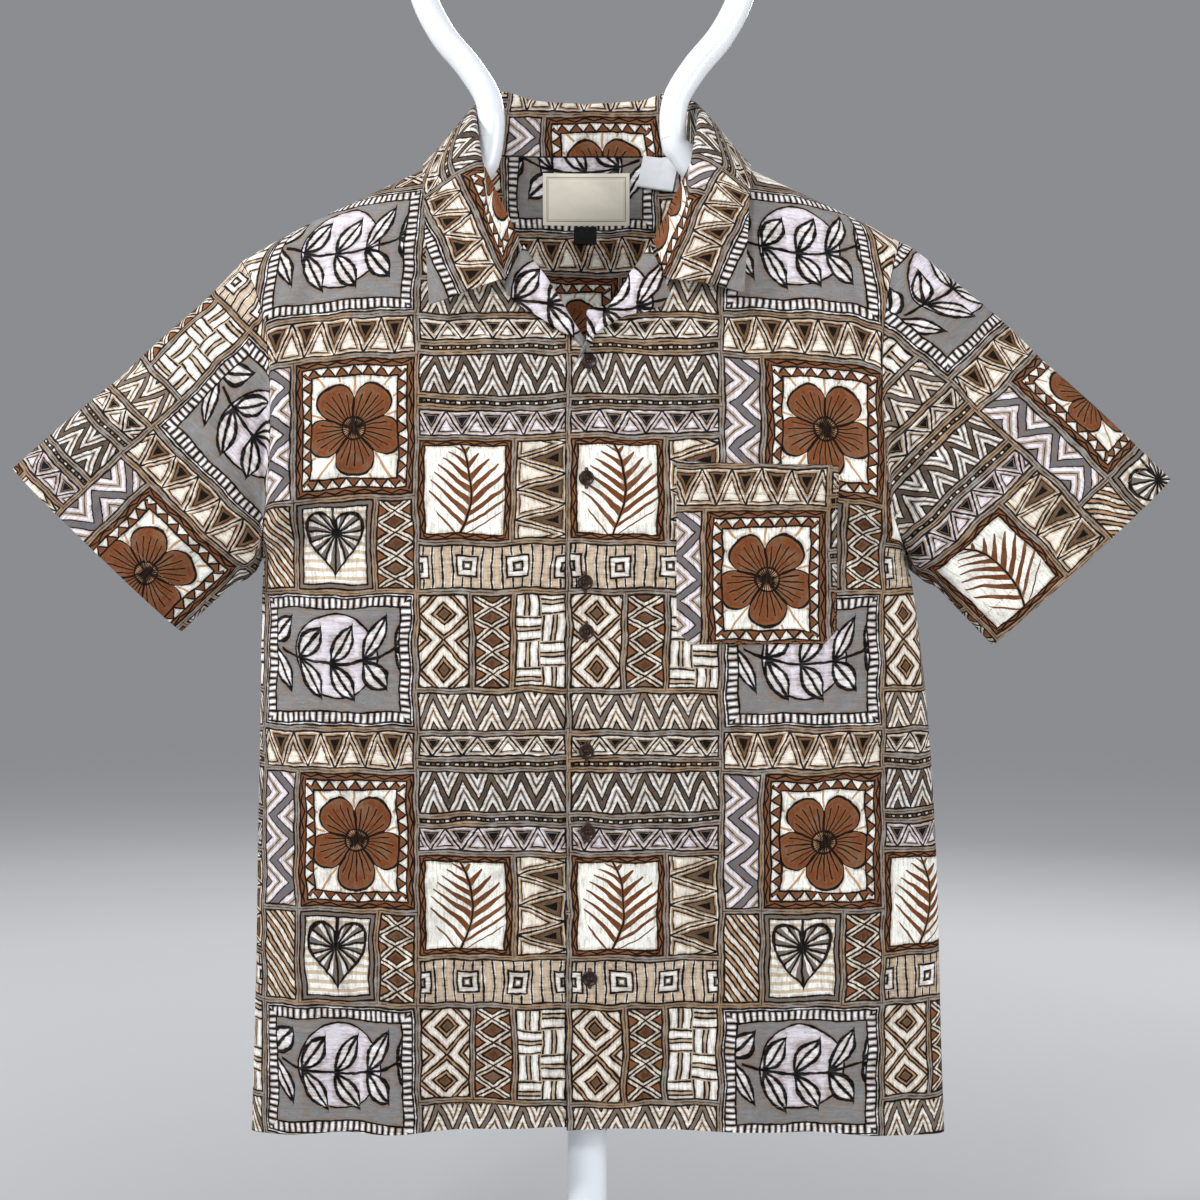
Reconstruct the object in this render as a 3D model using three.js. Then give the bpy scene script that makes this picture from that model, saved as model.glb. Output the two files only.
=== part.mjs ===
// A short-sleeved camp shirt in printed cotton, buttoned up on a bent-tube clothes stand.
// Millimetres, +Z up. The stand's foot is on Z = 0 with its pole on the Z axis, and the shirt's
// front faces -Y, so the wearer's left is +X. Inside the shirt's own group heights are counted
// from the front hem at the centre line.
import * as THREE from "three";

// ---- Driving dimensions ---------------------------------------------------------------------
const HEM_HEIGHT = 240; // front hem above the floor
const CLOTH = 1.2; // wall of one ply with its turnings
const SEAM_GAP = 0.4; // between two pieces that are sewn together
const ARMPIT = 455; // height of the underarm point
const SHOULDER_NECK = { x: 95, height: 791 }; // where the shoulder seam meets the collar
const SHOULDER_SLOPE = 0.465; // fall of the shoulder seam per millimetre outwards
const SHOULDER_ROUND = { from: 200, bend: 0.0009 }; // the seam falls faster near the sleeve
const DRAPE_LENGTH = 110; // how far below the shoulder the cloth has come forward by two thirds
const SIDE_ROUNDNESS = 2.8; // superellipse exponent of the body's section
const UNDERARM_OPENING = { rate: 2.2, ease: 20 }; // how the body widens into the sleeve above the armpit
const HEM_DROP = { side: 10, at: 270 }; // the hem hangs lower at the side seams
const OVERLAP = 16; // each front runs this far past the centre line
const OVERLAP_LIFT = { height: 2.0, full: 22, none: 70 }; // the left front lies on the right one

// Half the body's depth in front of and behind the pole.
const BODY_DEPTH = [
  { height: -20, front: 34, back: 30 },
  { height: 220, front: 46, back: 42 },
  { height: 430, front: 52, back: 50 },
  { height: 800, front: 52, back: 50 },
];
// Side seams, from the pole to the wearer's left and right.
const SIDE_SEAM = [
  { height: -20, left: 292, right: 274 },
  { height: 66, left: 289, right: 271.5 },
  { height: 226, left: 284.5, right: 268.5 },
  { height: 326, left: 278, right: 266.5 },
  { height: 430, left: 266, right: 265 },
  { height: ARMPIT, left: 261, right: 264 },
];
// Armhole seams, by share of the way up from the armpit to the shoulder.
const ARMHOLE = [
  { rise: 0, left: 261, right: 264 },
  { rise: 0.13, left: 245, right: 258 },
  { rise: 0.3, left: 238, right: 252.5 },
  { rise: 0.52, left: 235, right: 251.5 },
  { rise: 0.76, left: 238, right: 256.5 },
  { rise: 0.9, left: 245.5, right: 267 },
  { rise: 1, left: 254, right: 281 },
];
// The front's top edge, from its centre edge over the bottom of the V up to the shoulder seam.
const FRONT_NECKLINE = [
  { x: -16, height: 581 },
  { x: -12, height: 600 },
  { x: -6, height: 614 },
  { x: 2, height: 625 },
  { x: 12, height: 638 },
  { x: 22, height: 655 },
  { x: 34, height: 675 },
  { x: 45, height: 690 },
  { x: 54, height: 707 },
  { x: 66, height: 733 },
  { x: 80, height: 764 },
  { x: 90, height: 783 },
  { x: 95, height: 791 },
];
const BACK_NECKLINE_RISE = 4; // the back neckline's centre above the shoulder points
const NECK_DEPTH = { front: 60, back: 209 }; // how sharply the panels come away at the neck
// Soft vertical folds: where each lies at the hem, its lean, reach, half width and height.
const FOLDS = [
  { face: "front", x: -168, lean: 0.1, low: -40, high: 430, width: 34, rise: 3.5 },
  { face: "front", x: -92, lean: -0.03, low: -40, high: 300, width: 30, rise: -2.5 },
  { face: "front", x: 96, lean: 0.04, low: -40, high: 320, width: 32, rise: -2.5 },
  { face: "front", x: 188, lean: -0.12, low: -40, high: 430, width: 36, rise: 4 },
  { face: "back", x: -150, lean: 0.14, low: -40, high: 640, width: 38, rise: 7 },
  { face: "back", x: -60, lean: 0.03, low: -40, high: 520, width: 34, rise: -4 },
  { face: "back", x: 48, lean: -0.04, low: -40, high: 560, width: 36, rise: 5 },
  { face: "back", x: 158, lean: -0.16, low: -40, high: 640, width: 40, rise: -5 },
];
// Cuff corners in the plane of the sleeve's fold, half the cuff's depth, and how far the top
// fold bows up from a straight line.
const CUFF = {
  left: { top: { x: 475, height: 521 }, bottom: { x: 330, height: 386 }, depth: 19, crown: 8 },
  right: { top: { x: 467, height: 530 }, bottom: { x: 330, height: 397 }, depth: 19, crown: -5 },
};
const CUFF_FORWARD = -6; // the sleeves hang a little to the front
const SLACK = { down: 9, out: 2, reach: 0.34 }; // loose cloth under the arm, by share of the sleeve
const UNDERARM_CLEAR = 1.8; // the sleeve starts this far off the side seam's top

// Collar, by section from the centre back to its front end: where its seam meets the neckline
// on which panel, the crest of the roll, a point that the leaf passes and
// the leaf's outer edge.
const COLLAR = [
  { seam: 0, face: "back", crest: [0, 49, 840], fall: [0, 60, 806], edge: [0, 61, 773], over: 90 },
  { seam: 46, face: "back", crest: [44, 46, 842], fall: [52, 57, 808], edge: [56, 57, 773], over: 82 },
  { seam: 78, face: "back", crest: [72, 34, 846], fall: [90, 40, 812], edge: [103, 42, 778], over: 55 },
  { seam: 94, face: "back", crest: [92.5, 11, 827], fall: [111, 12, 802], edge: [130, 7, 780], over: 15 },
  { seam: 93, face: "front", crest: [91.5, -17, 806], fall: [111, -20, 789], edge: [131.5, -20, 766], over: -8 },
  { seam: 84, face: "front", crest: [85, -38, 760], fall: [107, -42, 750], edge: [129, -38, 736], over: -14 },
  { seam: 70, face: "front", crest: [82, -50, 712], fall: [105, -51, 706], edge: [127, -46, 700], over: -18 },
  { seam: 53, face: "front", crest: [66, -56, 674], fall: [94, -56, 664], edge: [124, -51, 655], over: -30 },
];
const COLLAR_SEAM_RISE = 2.9; // above the panels' neck edge, measured straight up
const COLLAR_FORWARD = 3; // on the fronts the collar lies against the outside of the neck edge
const COLLAR_ROLL = 5; // how far the leaf leaves the crest before it falls
const COLLAR_TIP_RISE = { left: 9, right: 0 }; // the left point sits higher
// Turned-out top of each front facing, from the collar's end down to the first button: the
// turn's crest, and the outer edge on each front.
const LAPEL = [
  { crest: [51, 701], left: [66, 665], right: [65, 671] },
  { crest: [43.5, 689], left: [59, 654.5], right: [61, 662] },
  { crest: [33, 675], left: [47, 649.5], right: [50, 652.5] },
  { crest: [21, 655], left: [30.5, 646], right: [36, 644.5] },
  { crest: [11.5, 639], left: [15, 635], right: [21, 634.5] },
];
const LAPEL_ROLL = 4; // the same for the facing's turn
const LAPEL_INSIDE = 14; // how far the facing runs down inside the front

const POCKET = { left: 71, right: 199, top: 531, bottom: 387, corner: 9 };
const BUTTON = { radius: 6.1, thick: 2.6, rim: 1.3 };
const BUTTONS = [
  { x: 2, height: 610 },
  { x: 0, height: 518 },
  { x: -1, height: 436 },
  { x: 0, height: 397 },
  { x: 0, height: 303 },
  { x: 1, height: 239 },
  { x: 2.5, height: 122 },
];
const LABEL_WALL = 1.0;
const NECK_LABEL = { x: -1, height: 760, wide: 73, tall: 43, tilt: 0 };
const SIZE_TAB = { x: -2, height: 729, wide: 19, tall: 15, tilt: 0 };
const CARE_LABEL = { x: 58, height: 778, wide: 32, tall: 26, tilt: -0.2 };

const TUBE = { radius: 11, sides: 12 };
const SHOULDER_CLEAR = 16.8; // tube's middle below the shoulder seam's line
// Middle of the bent tube on the wearer's left: head loop, then shoulder and arm to the hub.
const HEAD_LOOP = [
  [0, 1068],
  [50, 1058],
  [94, 1032],
  [124, 994],
  [134, 951],
  [130, 917],
  [114, 884],
  [92, 857],
  [77, 832],
  [74, 812],
  [75, 799],
];
const LOOP_SHIFT = -4; // the head loop is bent a little towards the wearer's right
const ARM = { tip: 258, turn: 30, hubHeight: 566, joint: 0.3 };
const POLE = { radius: 16, top: 548 };
const HUB = { radius: 21, low: 532, high: 592 };
const BASE = { radius: 165, thick: 6, socket: 23, socketHigh: 40, edge: 2 };
const ROUND_SIDES = 36;

// ---- Small helpers --------------------------------------------------------------------------
const mix = (a, b, t) => a + (b - a) * t;
const smooth = (t) => {
  const s = THREE.MathUtils.clamp(t, 0, 1);
  return s * s * (3 - 2 * s);
};
const sideName = (x) => (x < 0 ? "right" : "left");

// A table's column at a place between its rows, on straight lines.
function column(table, key, at, name) {
  let i = 1;
  while (i < table.length - 1 && table[i][key] < at) i += 1;
  const [low, high] = [table[i - 1], table[i]];
  const t = THREE.MathUtils.clamp((at - low[key]) / (high[key] - low[key]), 0, 1);
  return mix(low[name], high[name], t);
}

// A smooth curve through rows of points, read by share of its rows.
function curveOf(points) {
  return new THREE.CatmullRomCurve3(points.map((p) => new THREE.Vector3(...p)));
}

// ---- The shirt's surfaces -------------------------------------------------------------------
function shoulderHeight(x) {
  const beyond = Math.max(0, x - SHOULDER_ROUND.from);
  const fall = SHOULDER_SLOPE * (x - SHOULDER_NECK.x);
  return SHOULDER_NECK.height - fall - SHOULDER_ROUND.bend * beyond * beyond;
}

// The line that a panel hangs from: the shoulder seam, and above the neck hole a hump that
// brings the neckline forward.
function hangHeight(face, x) {
  const across = Math.abs(x);
  if (across >= SHOULDER_NECK.x) return shoulderHeight(across);
  const hump = (1 - (across / SHOULDER_NECK.x) ** 2) ** 1.5;
  return SHOULDER_NECK.height + NECK_DEPTH[face] * hump;
}

function foldAt(face, x, height) {
  let rise = 0;
  for (const fold of FOLDS) {
    if (fold.face !== face) continue;
    const off = (x - fold.x - fold.lean * height) / fold.width;
    const fade = smooth((fold.high - height) / (fold.high - fold.low));
    rise += fold.rise * fade * Math.exp(-off * off);
  }
  return rise;
}

// How far the left front is lifted off the right one, by distance from the centre line.
function overlapLift(x) {
  const { height, full, none } = OVERLAP_LIFT;
  return height * smooth((none - x) / (none - full));
}

// The body's mid surface: how far the cloth stands in front of or behind the pole.
function bodyY(face, x, height) {
  const name = sideName(x);
  const armpitWidth = SIDE_SEAM.at(-1)[name];
  const above = height - ARMPIT;
  const opening = (UNDERARM_OPENING.rate * above * above) / (above + UNDERARM_OPENING.ease);
  const width = above > 0 ? armpitWidth + opening : column(SIDE_SEAM, "height", height, name);
  const across = Math.min(1, Math.abs(x) / width);
  const round = Math.sqrt(1 - across ** SIDE_ROUNDNESS);
  const hang = Math.max(0, hangHeight(face, x) - height);
  const fall = Math.sqrt(1 - Math.exp(-hang / DRAPE_LENGTH));
  const depth = column(BODY_DEPTH, "height", height, face);
  const out = round * fall * (depth + foldAt(face, x, height)) + SEAM_GAP / 2;
  return face === "front" ? -out : out;
}

function hemHeight(x) {
  return -HEM_DROP.side * (Math.abs(x) / HEM_DROP.at) ** 2;
}

const armholeTop = (name) => shoulderHeight(ARMHOLE.at(-1)[name]);

function armholeX(name, height) {
  return column(ARMHOLE, "rise", (height - ARMPIT) / (armholeTop(name) - ARMPIT), name);
}

// Shares of a height that crowd towards both ends, so that round tops and bottoms stay round.
const crowded = (j, steps) => (1 - Math.cos((Math.PI * j) / steps)) / 2;

// ---- Cloth solids ---------------------------------------------------------------------------
// Turns a grid of mid-surface points into a closed wall. ring joins the last column to the first;
// fixNormal may turn the normal at an edge so that end faces meet squarely.
function clothWall(grid, { wall = CLOTH, ring = false, fixNormal = null } = {}) {
  const rows = grid.length;
  const columns = grid[0].length;
  const at = (j, i) => grid[j][ring ? (i + columns) % columns : THREE.MathUtils.clamp(i, 0, columns - 1)];
  const outer = [];
  const inner = [];
  for (let j = 0; j < rows; j += 1)
    for (let i = 0; i < columns; i += 1) {
      const alongRow = at(j, i + 1).clone().sub(at(j, i - 1));
      const alongColumn = at(Math.min(j + 1, rows - 1), i).clone().sub(at(Math.max(j - 1, 0), i));
      const normal = alongRow.cross(alongColumn).normalize();
      if (fixNormal) fixNormal(normal, j, i);
      const point = grid[j][i];
      outer.push(point.clone().addScaledVector(normal, wall / 2));
      inner.push(point.clone().addScaledVector(normal, -wall / 2));
    }
  const points = [...outer, ...inner];
  const faces = [];
  const quad = (a, b, c, d) => faces.push(a, b, c, a, c, d);
  const id = (j, i, skin) => skin * rows * columns + j * columns + (i % columns);
  const across = ring ? columns : columns - 1;
  for (let j = 0; j < rows - 1; j += 1)
    for (let i = 0; i < across; i += 1) {
      quad(id(j, i, 0), id(j, i + 1, 0), id(j + 1, i + 1, 0), id(j + 1, i, 0));
      quad(id(j, i, 1), id(j + 1, i, 1), id(j + 1, i + 1, 1), id(j, i + 1, 1));
    }
  for (let i = 0; i < across; i += 1) {
    quad(id(0, i, 1), id(0, i + 1, 1), id(0, i + 1, 0), id(0, i, 0));
    quad(id(rows - 1, i, 0), id(rows - 1, i + 1, 0), id(rows - 1, i + 1, 1), id(rows - 1, i, 1));
  }
  if (!ring)
    for (let j = 0; j < rows - 1; j += 1) {
      quad(id(j, 0, 0), id(j + 1, 0, 0), id(j + 1, 0, 1), id(j, 0, 1));
      quad(id(j, columns - 1, 1), id(j + 1, columns - 1, 1), id(j + 1, columns - 1, 0), id(j, columns - 1, 0));
    }
  return solidFrom(points, faces);
}

// A geometry from points and triangles, turned so that its faces point out.
function solidFrom(points, faces) {
  let volume = 0;
  for (let f = 0; f < faces.length; f += 3) {
    const [a, b, c] = [points[faces[f]], points[faces[f + 1]], points[faces[f + 2]]];
    volume += a.dot(b.clone().cross(c));
  }
  const geometry = new THREE.BufferGeometry();
  geometry.setAttribute("position", new THREE.Float32BufferAttribute(points.flatMap((p) => p.toArray()), 3));
  geometry.setIndex(volume > 0 ? faces : faces.reverse());
  geometry.computeVertexNormals();
  return geometry;
}

const material = (color, roughness, metalness = 0) =>
  new THREE.MeshStandardMaterial({ color, roughness, metalness });
const PRINTED_COTTON = { color: 0x9d8a78, roughness: 0.9 };
const cloth = () => material(PRINTED_COTTON.color, PRINTED_COTTON.roughness);

const shirt = new THREE.Group();
shirt.position.z = HEM_HEIGHT;
const stand = new THREE.Group();

function add(group, name, geometry, finish) {
  const mesh = new THREE.Mesh(geometry, finish);
  mesh.name = name;
  group.add(mesh);
  return mesh;
}

// ---- Fronts and back ------------------------------------------------------------------------
const PANEL_ROWS = { below: 10, above: 10 };
const PANEL_COLUMNS = { neck: 8, side: 8 };
const BACK_NECK_COLUMNS = 10;
const SIDE_CROWDING = 1.6; // columns crowd towards the side seam, where the cloth turns

// One column of a panel: x at the armpit's height and at its top, and how much of the armhole's
// curve it takes.
function panelColumn(share, start, neckShare, armpitWidth, tip) {
  const topX = share <= neckShare
    ? mix(start, SHOULDER_NECK.x, share / neckShare)
    : mix(SHOULDER_NECK.x, tip, (share - neckShare) / (1 - neckShare));
  return { share, topX, armpitX: mix(start, armpitWidth, share) };
}

function panelPoint(face, name, col, row, start, topHeight, lift) {
  const side = name === "left" ? 1 : -1;
  let x;
  let height;
  if (row <= PANEL_ROWS.below) {
    const t = row / PANEL_ROWS.below;
    const width = column(SIDE_SEAM, "height", mix(hemHeight(col.armpitX), ARMPIT, t), name);
    x = mix(start, width, col.share);
    height = mix(hemHeight(x), ARMPIT, t);
  } else {
    const t = crowded(row - PANEL_ROWS.below, PANEL_ROWS.above);
    height = mix(ARMPIT, topHeight, t);
    const edge = ARMHOLE[0][name];
    const tip = ARMHOLE.at(-1)[name];
    const curve = armholeX(name, mix(ARMPIT, armholeTop(name), t)) - mix(edge, tip, t);
    x = mix(col.armpitX, col.topX, t) + curve * col.share ** 3;
  }
  const y = bodyY(face, side * x, height) - (lift ? overlapLift(x) : 0);
  return new THREE.Vector3(side * x, y, height);
}

// End faces at the shoulder and side seams stand square to the seam's plane.
function squareSeams(topX, lastColumns) {
  return (normal, j, i) => {
    const top = j === PANEL_ROWS.below + PANEL_ROWS.above && Math.abs(topX[i]) >= SHOULDER_NECK.x;
    const side = lastColumns.includes(i) && j <= PANEL_ROWS.below;
    if (top || side) normal.setY(0).normalize();
  };
}

const NECK_SHARE = (SHOULDER_NECK.x + OVERLAP) / (SIDE_SEAM.at(-1).left + OVERLAP);

function sideShares(neckShare, neckColumns) {
  const shares = [];
  for (let i = 0; i <= neckColumns; i += 1) shares.push((neckShare * i) / neckColumns);
  for (let i = 1; i <= PANEL_COLUMNS.side; i += 1) {
    const t = 1 - (1 - i / PANEL_COLUMNS.side) ** SIDE_CROWDING;
    shares.push(mix(neckShare, 1, t));
  }
  return shares;
}

function frontTop(x) {
  return x < SHOULDER_NECK.x ? column(FRONT_NECKLINE, "x", x, "height") : shoulderHeight(x);
}

const frontColumns = (name) =>
  sideShares(NECK_SHARE, PANEL_COLUMNS.neck).map((share) =>
    panelColumn(share, -OVERLAP, NECK_SHARE, SIDE_SEAM.at(-1)[name], ARMHOLE.at(-1)[name]),
  );

function frontGeometry(name) {
  const columns = frontColumns(name);
  const grid = [];
  for (let row = 0; row <= PANEL_ROWS.below + PANEL_ROWS.above; row += 1)
    grid.push(columns.map((col) =>
      panelPoint("front", name, col, row, -OVERLAP, frontTop(col.topX), name === "left"),
    ));
  const fixNormal = squareSeams(columns.map((col) => col.topX), [columns.length - 1]);
  return clothWall(grid, { fixNormal });
}

function backTop(x) {
  if (x >= SHOULDER_NECK.x) return shoulderHeight(x);
  return SHOULDER_NECK.height + BACK_NECKLINE_RISE * (1 - (x / SHOULDER_NECK.x) ** 2);
}

function backGeometry() {
  const halves = { right: [], left: [] };
  for (const name of ["right", "left"]) {
    const neckShare = SHOULDER_NECK.x / SIDE_SEAM.at(-1)[name];
    halves[name] = sideShares(neckShare, BACK_NECK_COLUMNS / 2).map((share) => ({
      name,
      ...panelColumn(share, 0, neckShare, SIDE_SEAM.at(-1)[name], ARMHOLE.at(-1)[name]),
    }));
  }
  const columns = [...halves.right.slice(1).reverse(), ...halves.left];
  const grid = [];
  for (let row = 0; row <= PANEL_ROWS.below + PANEL_ROWS.above; row += 1)
    grid.push(columns.map((col) =>
      panelPoint("back", col.name, col, row, 0, backTop(col.topX), false),
    ));
  const fixNormal = squareSeams(columns.map((col) => col.topX), [0, columns.length - 1]);
  return clothWall(grid, { fixNormal });
}

add(shirt, "front_left", frontGeometry("left"), cloth());
add(shirt, "front_right", frontGeometry("right"), cloth());
add(shirt, "back", backGeometry(), cloth());

// ---- Sleeves --------------------------------------------------------------------------------
const SLEEVE_STEPS = 9;

function sleeveGeometry(name) {
  const side = name === "left" ? 1 : -1;
  const half = PANEL_ROWS.above;
  const around = 2 * half;
  const { top, bottom, depth, crown } = CUFF[name];
  const grid = [];
  for (let step = 0; step <= SLEEVE_STEPS; step += 1) {
    const s = step / SLEEVE_STEPS;
    const ring = [];
    for (let i = 0; i < around; i += 1) {
      const front = i <= half;
      const t = crowded(front ? i : around - i, half);
      const under = Math.exp(-t * 22);
      const armHeight = mix(ARMPIT, armholeTop(name), t);
      const armX = armholeX(name, armHeight);
      const face = front ? "front" : "back";
      const armY = bodyY(face, side * armX, armHeight) + (front ? 1 : -1) * (SEAM_GAP / 2);
      const start = new THREE.Vector3(
        armX + 2 * SEAM_GAP + UNDERARM_CLEAR * under,
        armY,
        armHeight + UNDERARM_CLEAR * under,
      );
      const round = Math.sin(Math.acos(THREE.MathUtils.clamp(1 - 2 * t, -1, 1))) ** 0.8;
      const end = new THREE.Vector3(
        mix(bottom.x, top.x, t),
        CUFF_FORWARD + (front ? -1 : 1) * depth * round,
        mix(bottom.height, top.height, t),
      );
      const point = start.lerp(end, s);
      const slack = Math.sin(Math.PI * Math.min(1, s / SLACK.reach) ** 0.6) * (1 - t) ** 3;
      point.x += SLACK.out * slack;
      point.z += crown * Math.sin(Math.PI * s ** 0.6) * t ** 3 - SLACK.down * slack;
      point.x *= side;
      ring.push(point);
    }
    grid.push(ring);
  }
  return clothWall(grid, { ring: true });
}

add(shirt, "sleeve_left", sleeveGeometry("left"), cloth());
add(shirt, "sleeve_right", sleeveGeometry("right"), cloth());

// ---- Collar and facings ---------------------------------------------------------------------
const COLLAR_STEPS = 14; // from the centre back to one front end
const LAPEL_STEPS = 7;
const ROLL_STEPS = { rise: 4, leaf: 7 };

// One section of a turned-over strip: up from its seam, round the roll's crest, past the fall
// point to its edge.
function rollSection({ seam, stand, crest, fall, edge, over }, radius) {
  const out = over.normalize();
  const before = crest.clone().addScaledVector(out, -radius);
  const after = crest.clone().addScaledVector(out, radius);
  const rise = new THREE.CubicBezierCurve3(seam, stand, before, crest);
  const leaf = new THREE.CubicBezierCurve3(crest, after, fall, edge);
  return [...rise.getPoints(ROLL_STEPS.rise), ...leaf.getPoints(ROLL_STEPS.leaf).slice(1)];
}

// Sections of a strip read off smooth curves through its table's rows.
function rollStrip(rows, steps, radius) {
  const keys = ["seam", "stand", "crest", "fall", "edge", "over"];
  const curves = keys.map((key) => curveOf(rows.map((row) => row[key])));
  const sections = [];
  for (let step = 0; step <= steps; step += 1) {
    const at = Object.fromEntries(keys.map((key, k) => [key, curves[k].getPoint(step / steps)]));
    sections.push(rollSection(at, radius));
  }
  return sections;
}

const mirrored = (section) => section.map((p) => new THREE.Vector3(-p.x, p.y, p.z));

// The panels' neck edges on one side, as tables of x, y and height.
function neckEdges(name) {
  const side = name === "left" ? 1 : -1;
  const lifted = (x) => (name === "left" ? overlapLift(x) : 0);
  const front = frontColumns(name).map(({ topX }) => {
    const height = frontTop(topX);
    return { x: topX, y: bodyY("front", side * topX, height) - lifted(topX), height };
  });
  const back = sideShares(1, BACK_NECK_COLUMNS / 2).slice(0, BACK_NECK_COLUMNS / 2 + 1).map((share) => {
    const x = share * SHOULDER_NECK.x;
    return { x, y: bodyY("back", side * x, backTop(x)), height: backTop(x) };
  });
  return { front, back };
}

function collarRows(name) {
  const edges = neckEdges(name);
  return COLLAR.map(({ seam, face, crest, fall, edge, over }, i) => {
    const y = column(edges[face], "x", seam, "y") - COLLAR_FORWARD * smooth((i - 3) / 2);
    const height = column(edges[face], "x", seam, "height") + COLLAR_SEAM_RISE;
    const raise = COLLAR_TIP_RISE[name] * smooth((i - 4) / (COLLAR.length - 5));
    const raised = ([px, py, pz]) => [px, py, pz + raise];
    const bearing = THREE.MathUtils.degToRad(over);
    const leaf = { fall: raised(fall), edge: raised(edge), over: [Math.cos(bearing), Math.sin(bearing), 0] };
    const foot = [seam, y, height];
    return { seam: foot, stand: crest.map((at, k) => mix(foot[k], at, 0.6)), crest, ...leaf };
  });
}

function collarGeometry() {
  const left = rollStrip(collarRows("left"), COLLAR_STEPS, COLLAR_ROLL);
  const right = rollStrip(collarRows("right"), COLLAR_STEPS, COLLAR_ROLL).map(mirrored);
  return clothWall([...right.slice(1).reverse(), ...left]);
}

add(shirt, "collar", collarGeometry(), cloth());

function facingGeometry(name) {
  const side = name === "left" ? 1 : -1;
  const onFront = ([x, height], out) =>
    [x, bodyY("front", side * x, height) - (name === "left" ? overlapLift(x) : 0) - out, height];
  const rows = LAPEL.map(({ crest, [name]: edge }) => {
    const away = new THREE.Vector2(edge[0] - crest[0], edge[1] - crest[1]).normalize();
    const inside = [crest[0] + away.x * LAPEL_INSIDE, crest[1] + away.y * LAPEL_INSIDE];
    const halfWay = [mix(crest[0], edge[0], 0.6), mix(crest[1], edge[1], 0.6)];
    return {
      seam: onFront(inside, -4),
      stand: onFront([crest[0] + 2 * away.x, crest[1] + 2 * away.y], -6),
      crest: onFront([crest[0] - 2.8 * away.x, crest[1] - 2.8 * away.y], 2.4),
      fall: onFront(halfWay, 1.5 * LAPEL_ROLL),
      edge: onFront(edge, 0.8 * LAPEL_ROLL),
      over: [away.x, -0.9, away.y],
    };
  });
  const sections = rollStrip(rows, LAPEL_STEPS, LAPEL_ROLL);
  return clothWall(side > 0 ? sections : sections.map(mirrored));
}

add(shirt, "facing_left", facingGeometry("left"), cloth());
add(shirt, "facing_right", facingGeometry("right"), cloth());

// ---- Pocket and labels: the panels' own points, moved off them -------------------------------
const POCKET_STEPS = { across: 6, up: 6 };
const LABEL_STEPS = 4;

function pocketGeometry() {
  const grid = [];
  for (let j = 0; j <= POCKET_STEPS.up; j += 1) {
    const up = j / POCKET_STEPS.up;
    const row = [];
    for (let i = 0; i <= POCKET_STEPS.across; i += 1) {
      const across = i / POCKET_STEPS.across;
      const cut = j === 0 ? POCKET.corner : 0; // the lower corners are clipped
      const x = mix(POCKET.left + cut, POCKET.right - cut, across);
      const height = mix(POCKET.bottom, POCKET.top, up);
      const y = bodyY("front", x, height) - overlapLift(x) - CLOTH - 2 * SEAM_GAP;
      row.push(new THREE.Vector3(x, y, height));
    }
    grid.push(row);
  }
  return clothWall(grid);
}

// A label lies against the inside of the back panel.
function labelGeometry({ x, height, wide, tall, tilt }, lift) {
  const grid = [];
  for (let j = 0; j <= LABEL_STEPS; j += 1) {
    const row = [];
    for (let i = 0; i <= LABEL_STEPS; i += 1) {
      const across = (i / LABEL_STEPS - 0.5) * wide;
      const up = (j / LABEL_STEPS - 0.5) * tall;
      const px = x + across * Math.cos(tilt) - up * Math.sin(tilt);
      const pz = height + across * Math.sin(tilt) + up * Math.cos(tilt);
      row.push(new THREE.Vector3(px, bodyY("back", px, pz) - lift, pz));
    }
    grid.push(row);
  }
  return clothWall(grid, { wall: LABEL_WALL });
}

const LABEL_LIFT = (CLOTH + LABEL_WALL) / 2 + 2 * SEAM_GAP;
add(shirt, "pocket", pocketGeometry(), cloth());
add(shirt, "neck_label", labelGeometry(NECK_LABEL, LABEL_LIFT), material(0xcfc6ae, 0.85));
add(shirt, "size_tab", labelGeometry(SIZE_TAB, LABEL_LIFT), material(0x16171b, 0.7));
add(shirt, "care_label", labelGeometry(CARE_LABEL, LABEL_LIFT + 1.5), material(0xd9dbe0, 0.5));

// ---- Buttons --------------------------------------------------------------------------------
function buttonGeometry() {
  const { radius, thick, rim } = BUTTON;
  const profile = [
    [0, 0],
    [radius * 0.8, 0],
    [radius, thick * 0.35],
    [radius, thick * 0.8],
    [radius - rim * 0.5, thick],
    [radius - rim * 1.5, thick * 0.7],
    [0, thick * 0.7],
  ].map(([r, y]) => new THREE.Vector2(r, y));
  return new THREE.LatheGeometry(profile, 16);
}

BUTTONS.forEach(({ x, height }, index) => {
  const base = (dx, dz) =>
    new THREE.Vector3(x + dx, bodyY("front", x + dx, height + dz) - overlapLift(x + dx), height + dz);
  const normal = base(3, 0).sub(base(-3, 0)).cross(base(0, 3).sub(base(0, -3))).normalize();
  const button = add(shirt, `button_${index + 1}`, buttonGeometry(), material(0x2b1c18, 0.45));
  button.position.copy(base(0, 0)).addScaledVector(normal, CLOTH / 2 + SEAM_GAP);
  button.quaternion.setFromUnitVectors(new THREE.Vector3(0, 1, 0), normal);
});

// ---- Clothes stand --------------------------------------------------------------------------
const whitePaint = () => material(0xf1f3f7, 0.25);

function circle(radius, sides) {
  const shape = new THREE.Shape();
  for (let i = 0; i < sides; i += 1) {
    const a = (2 * Math.PI * i) / sides;
    if (i === 0) shape.moveTo(radius, 0);
    else shape.lineTo(radius * Math.cos(a), radius * Math.sin(a));
  }
  shape.closePath();
  return shape;
}

// A bent tube through points given as x and height, in the plane of the pole.
function bentTube(points, steps) {
  const path = curveOf(points.map(([x, z]) => [x, 0, z]));
  return new THREE.ExtrudeGeometry(circle(TUBE.radius, TUBE.sides), {
    steps,
    extrudePath: path,
    bevelEnabled: false,
  });
}

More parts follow.
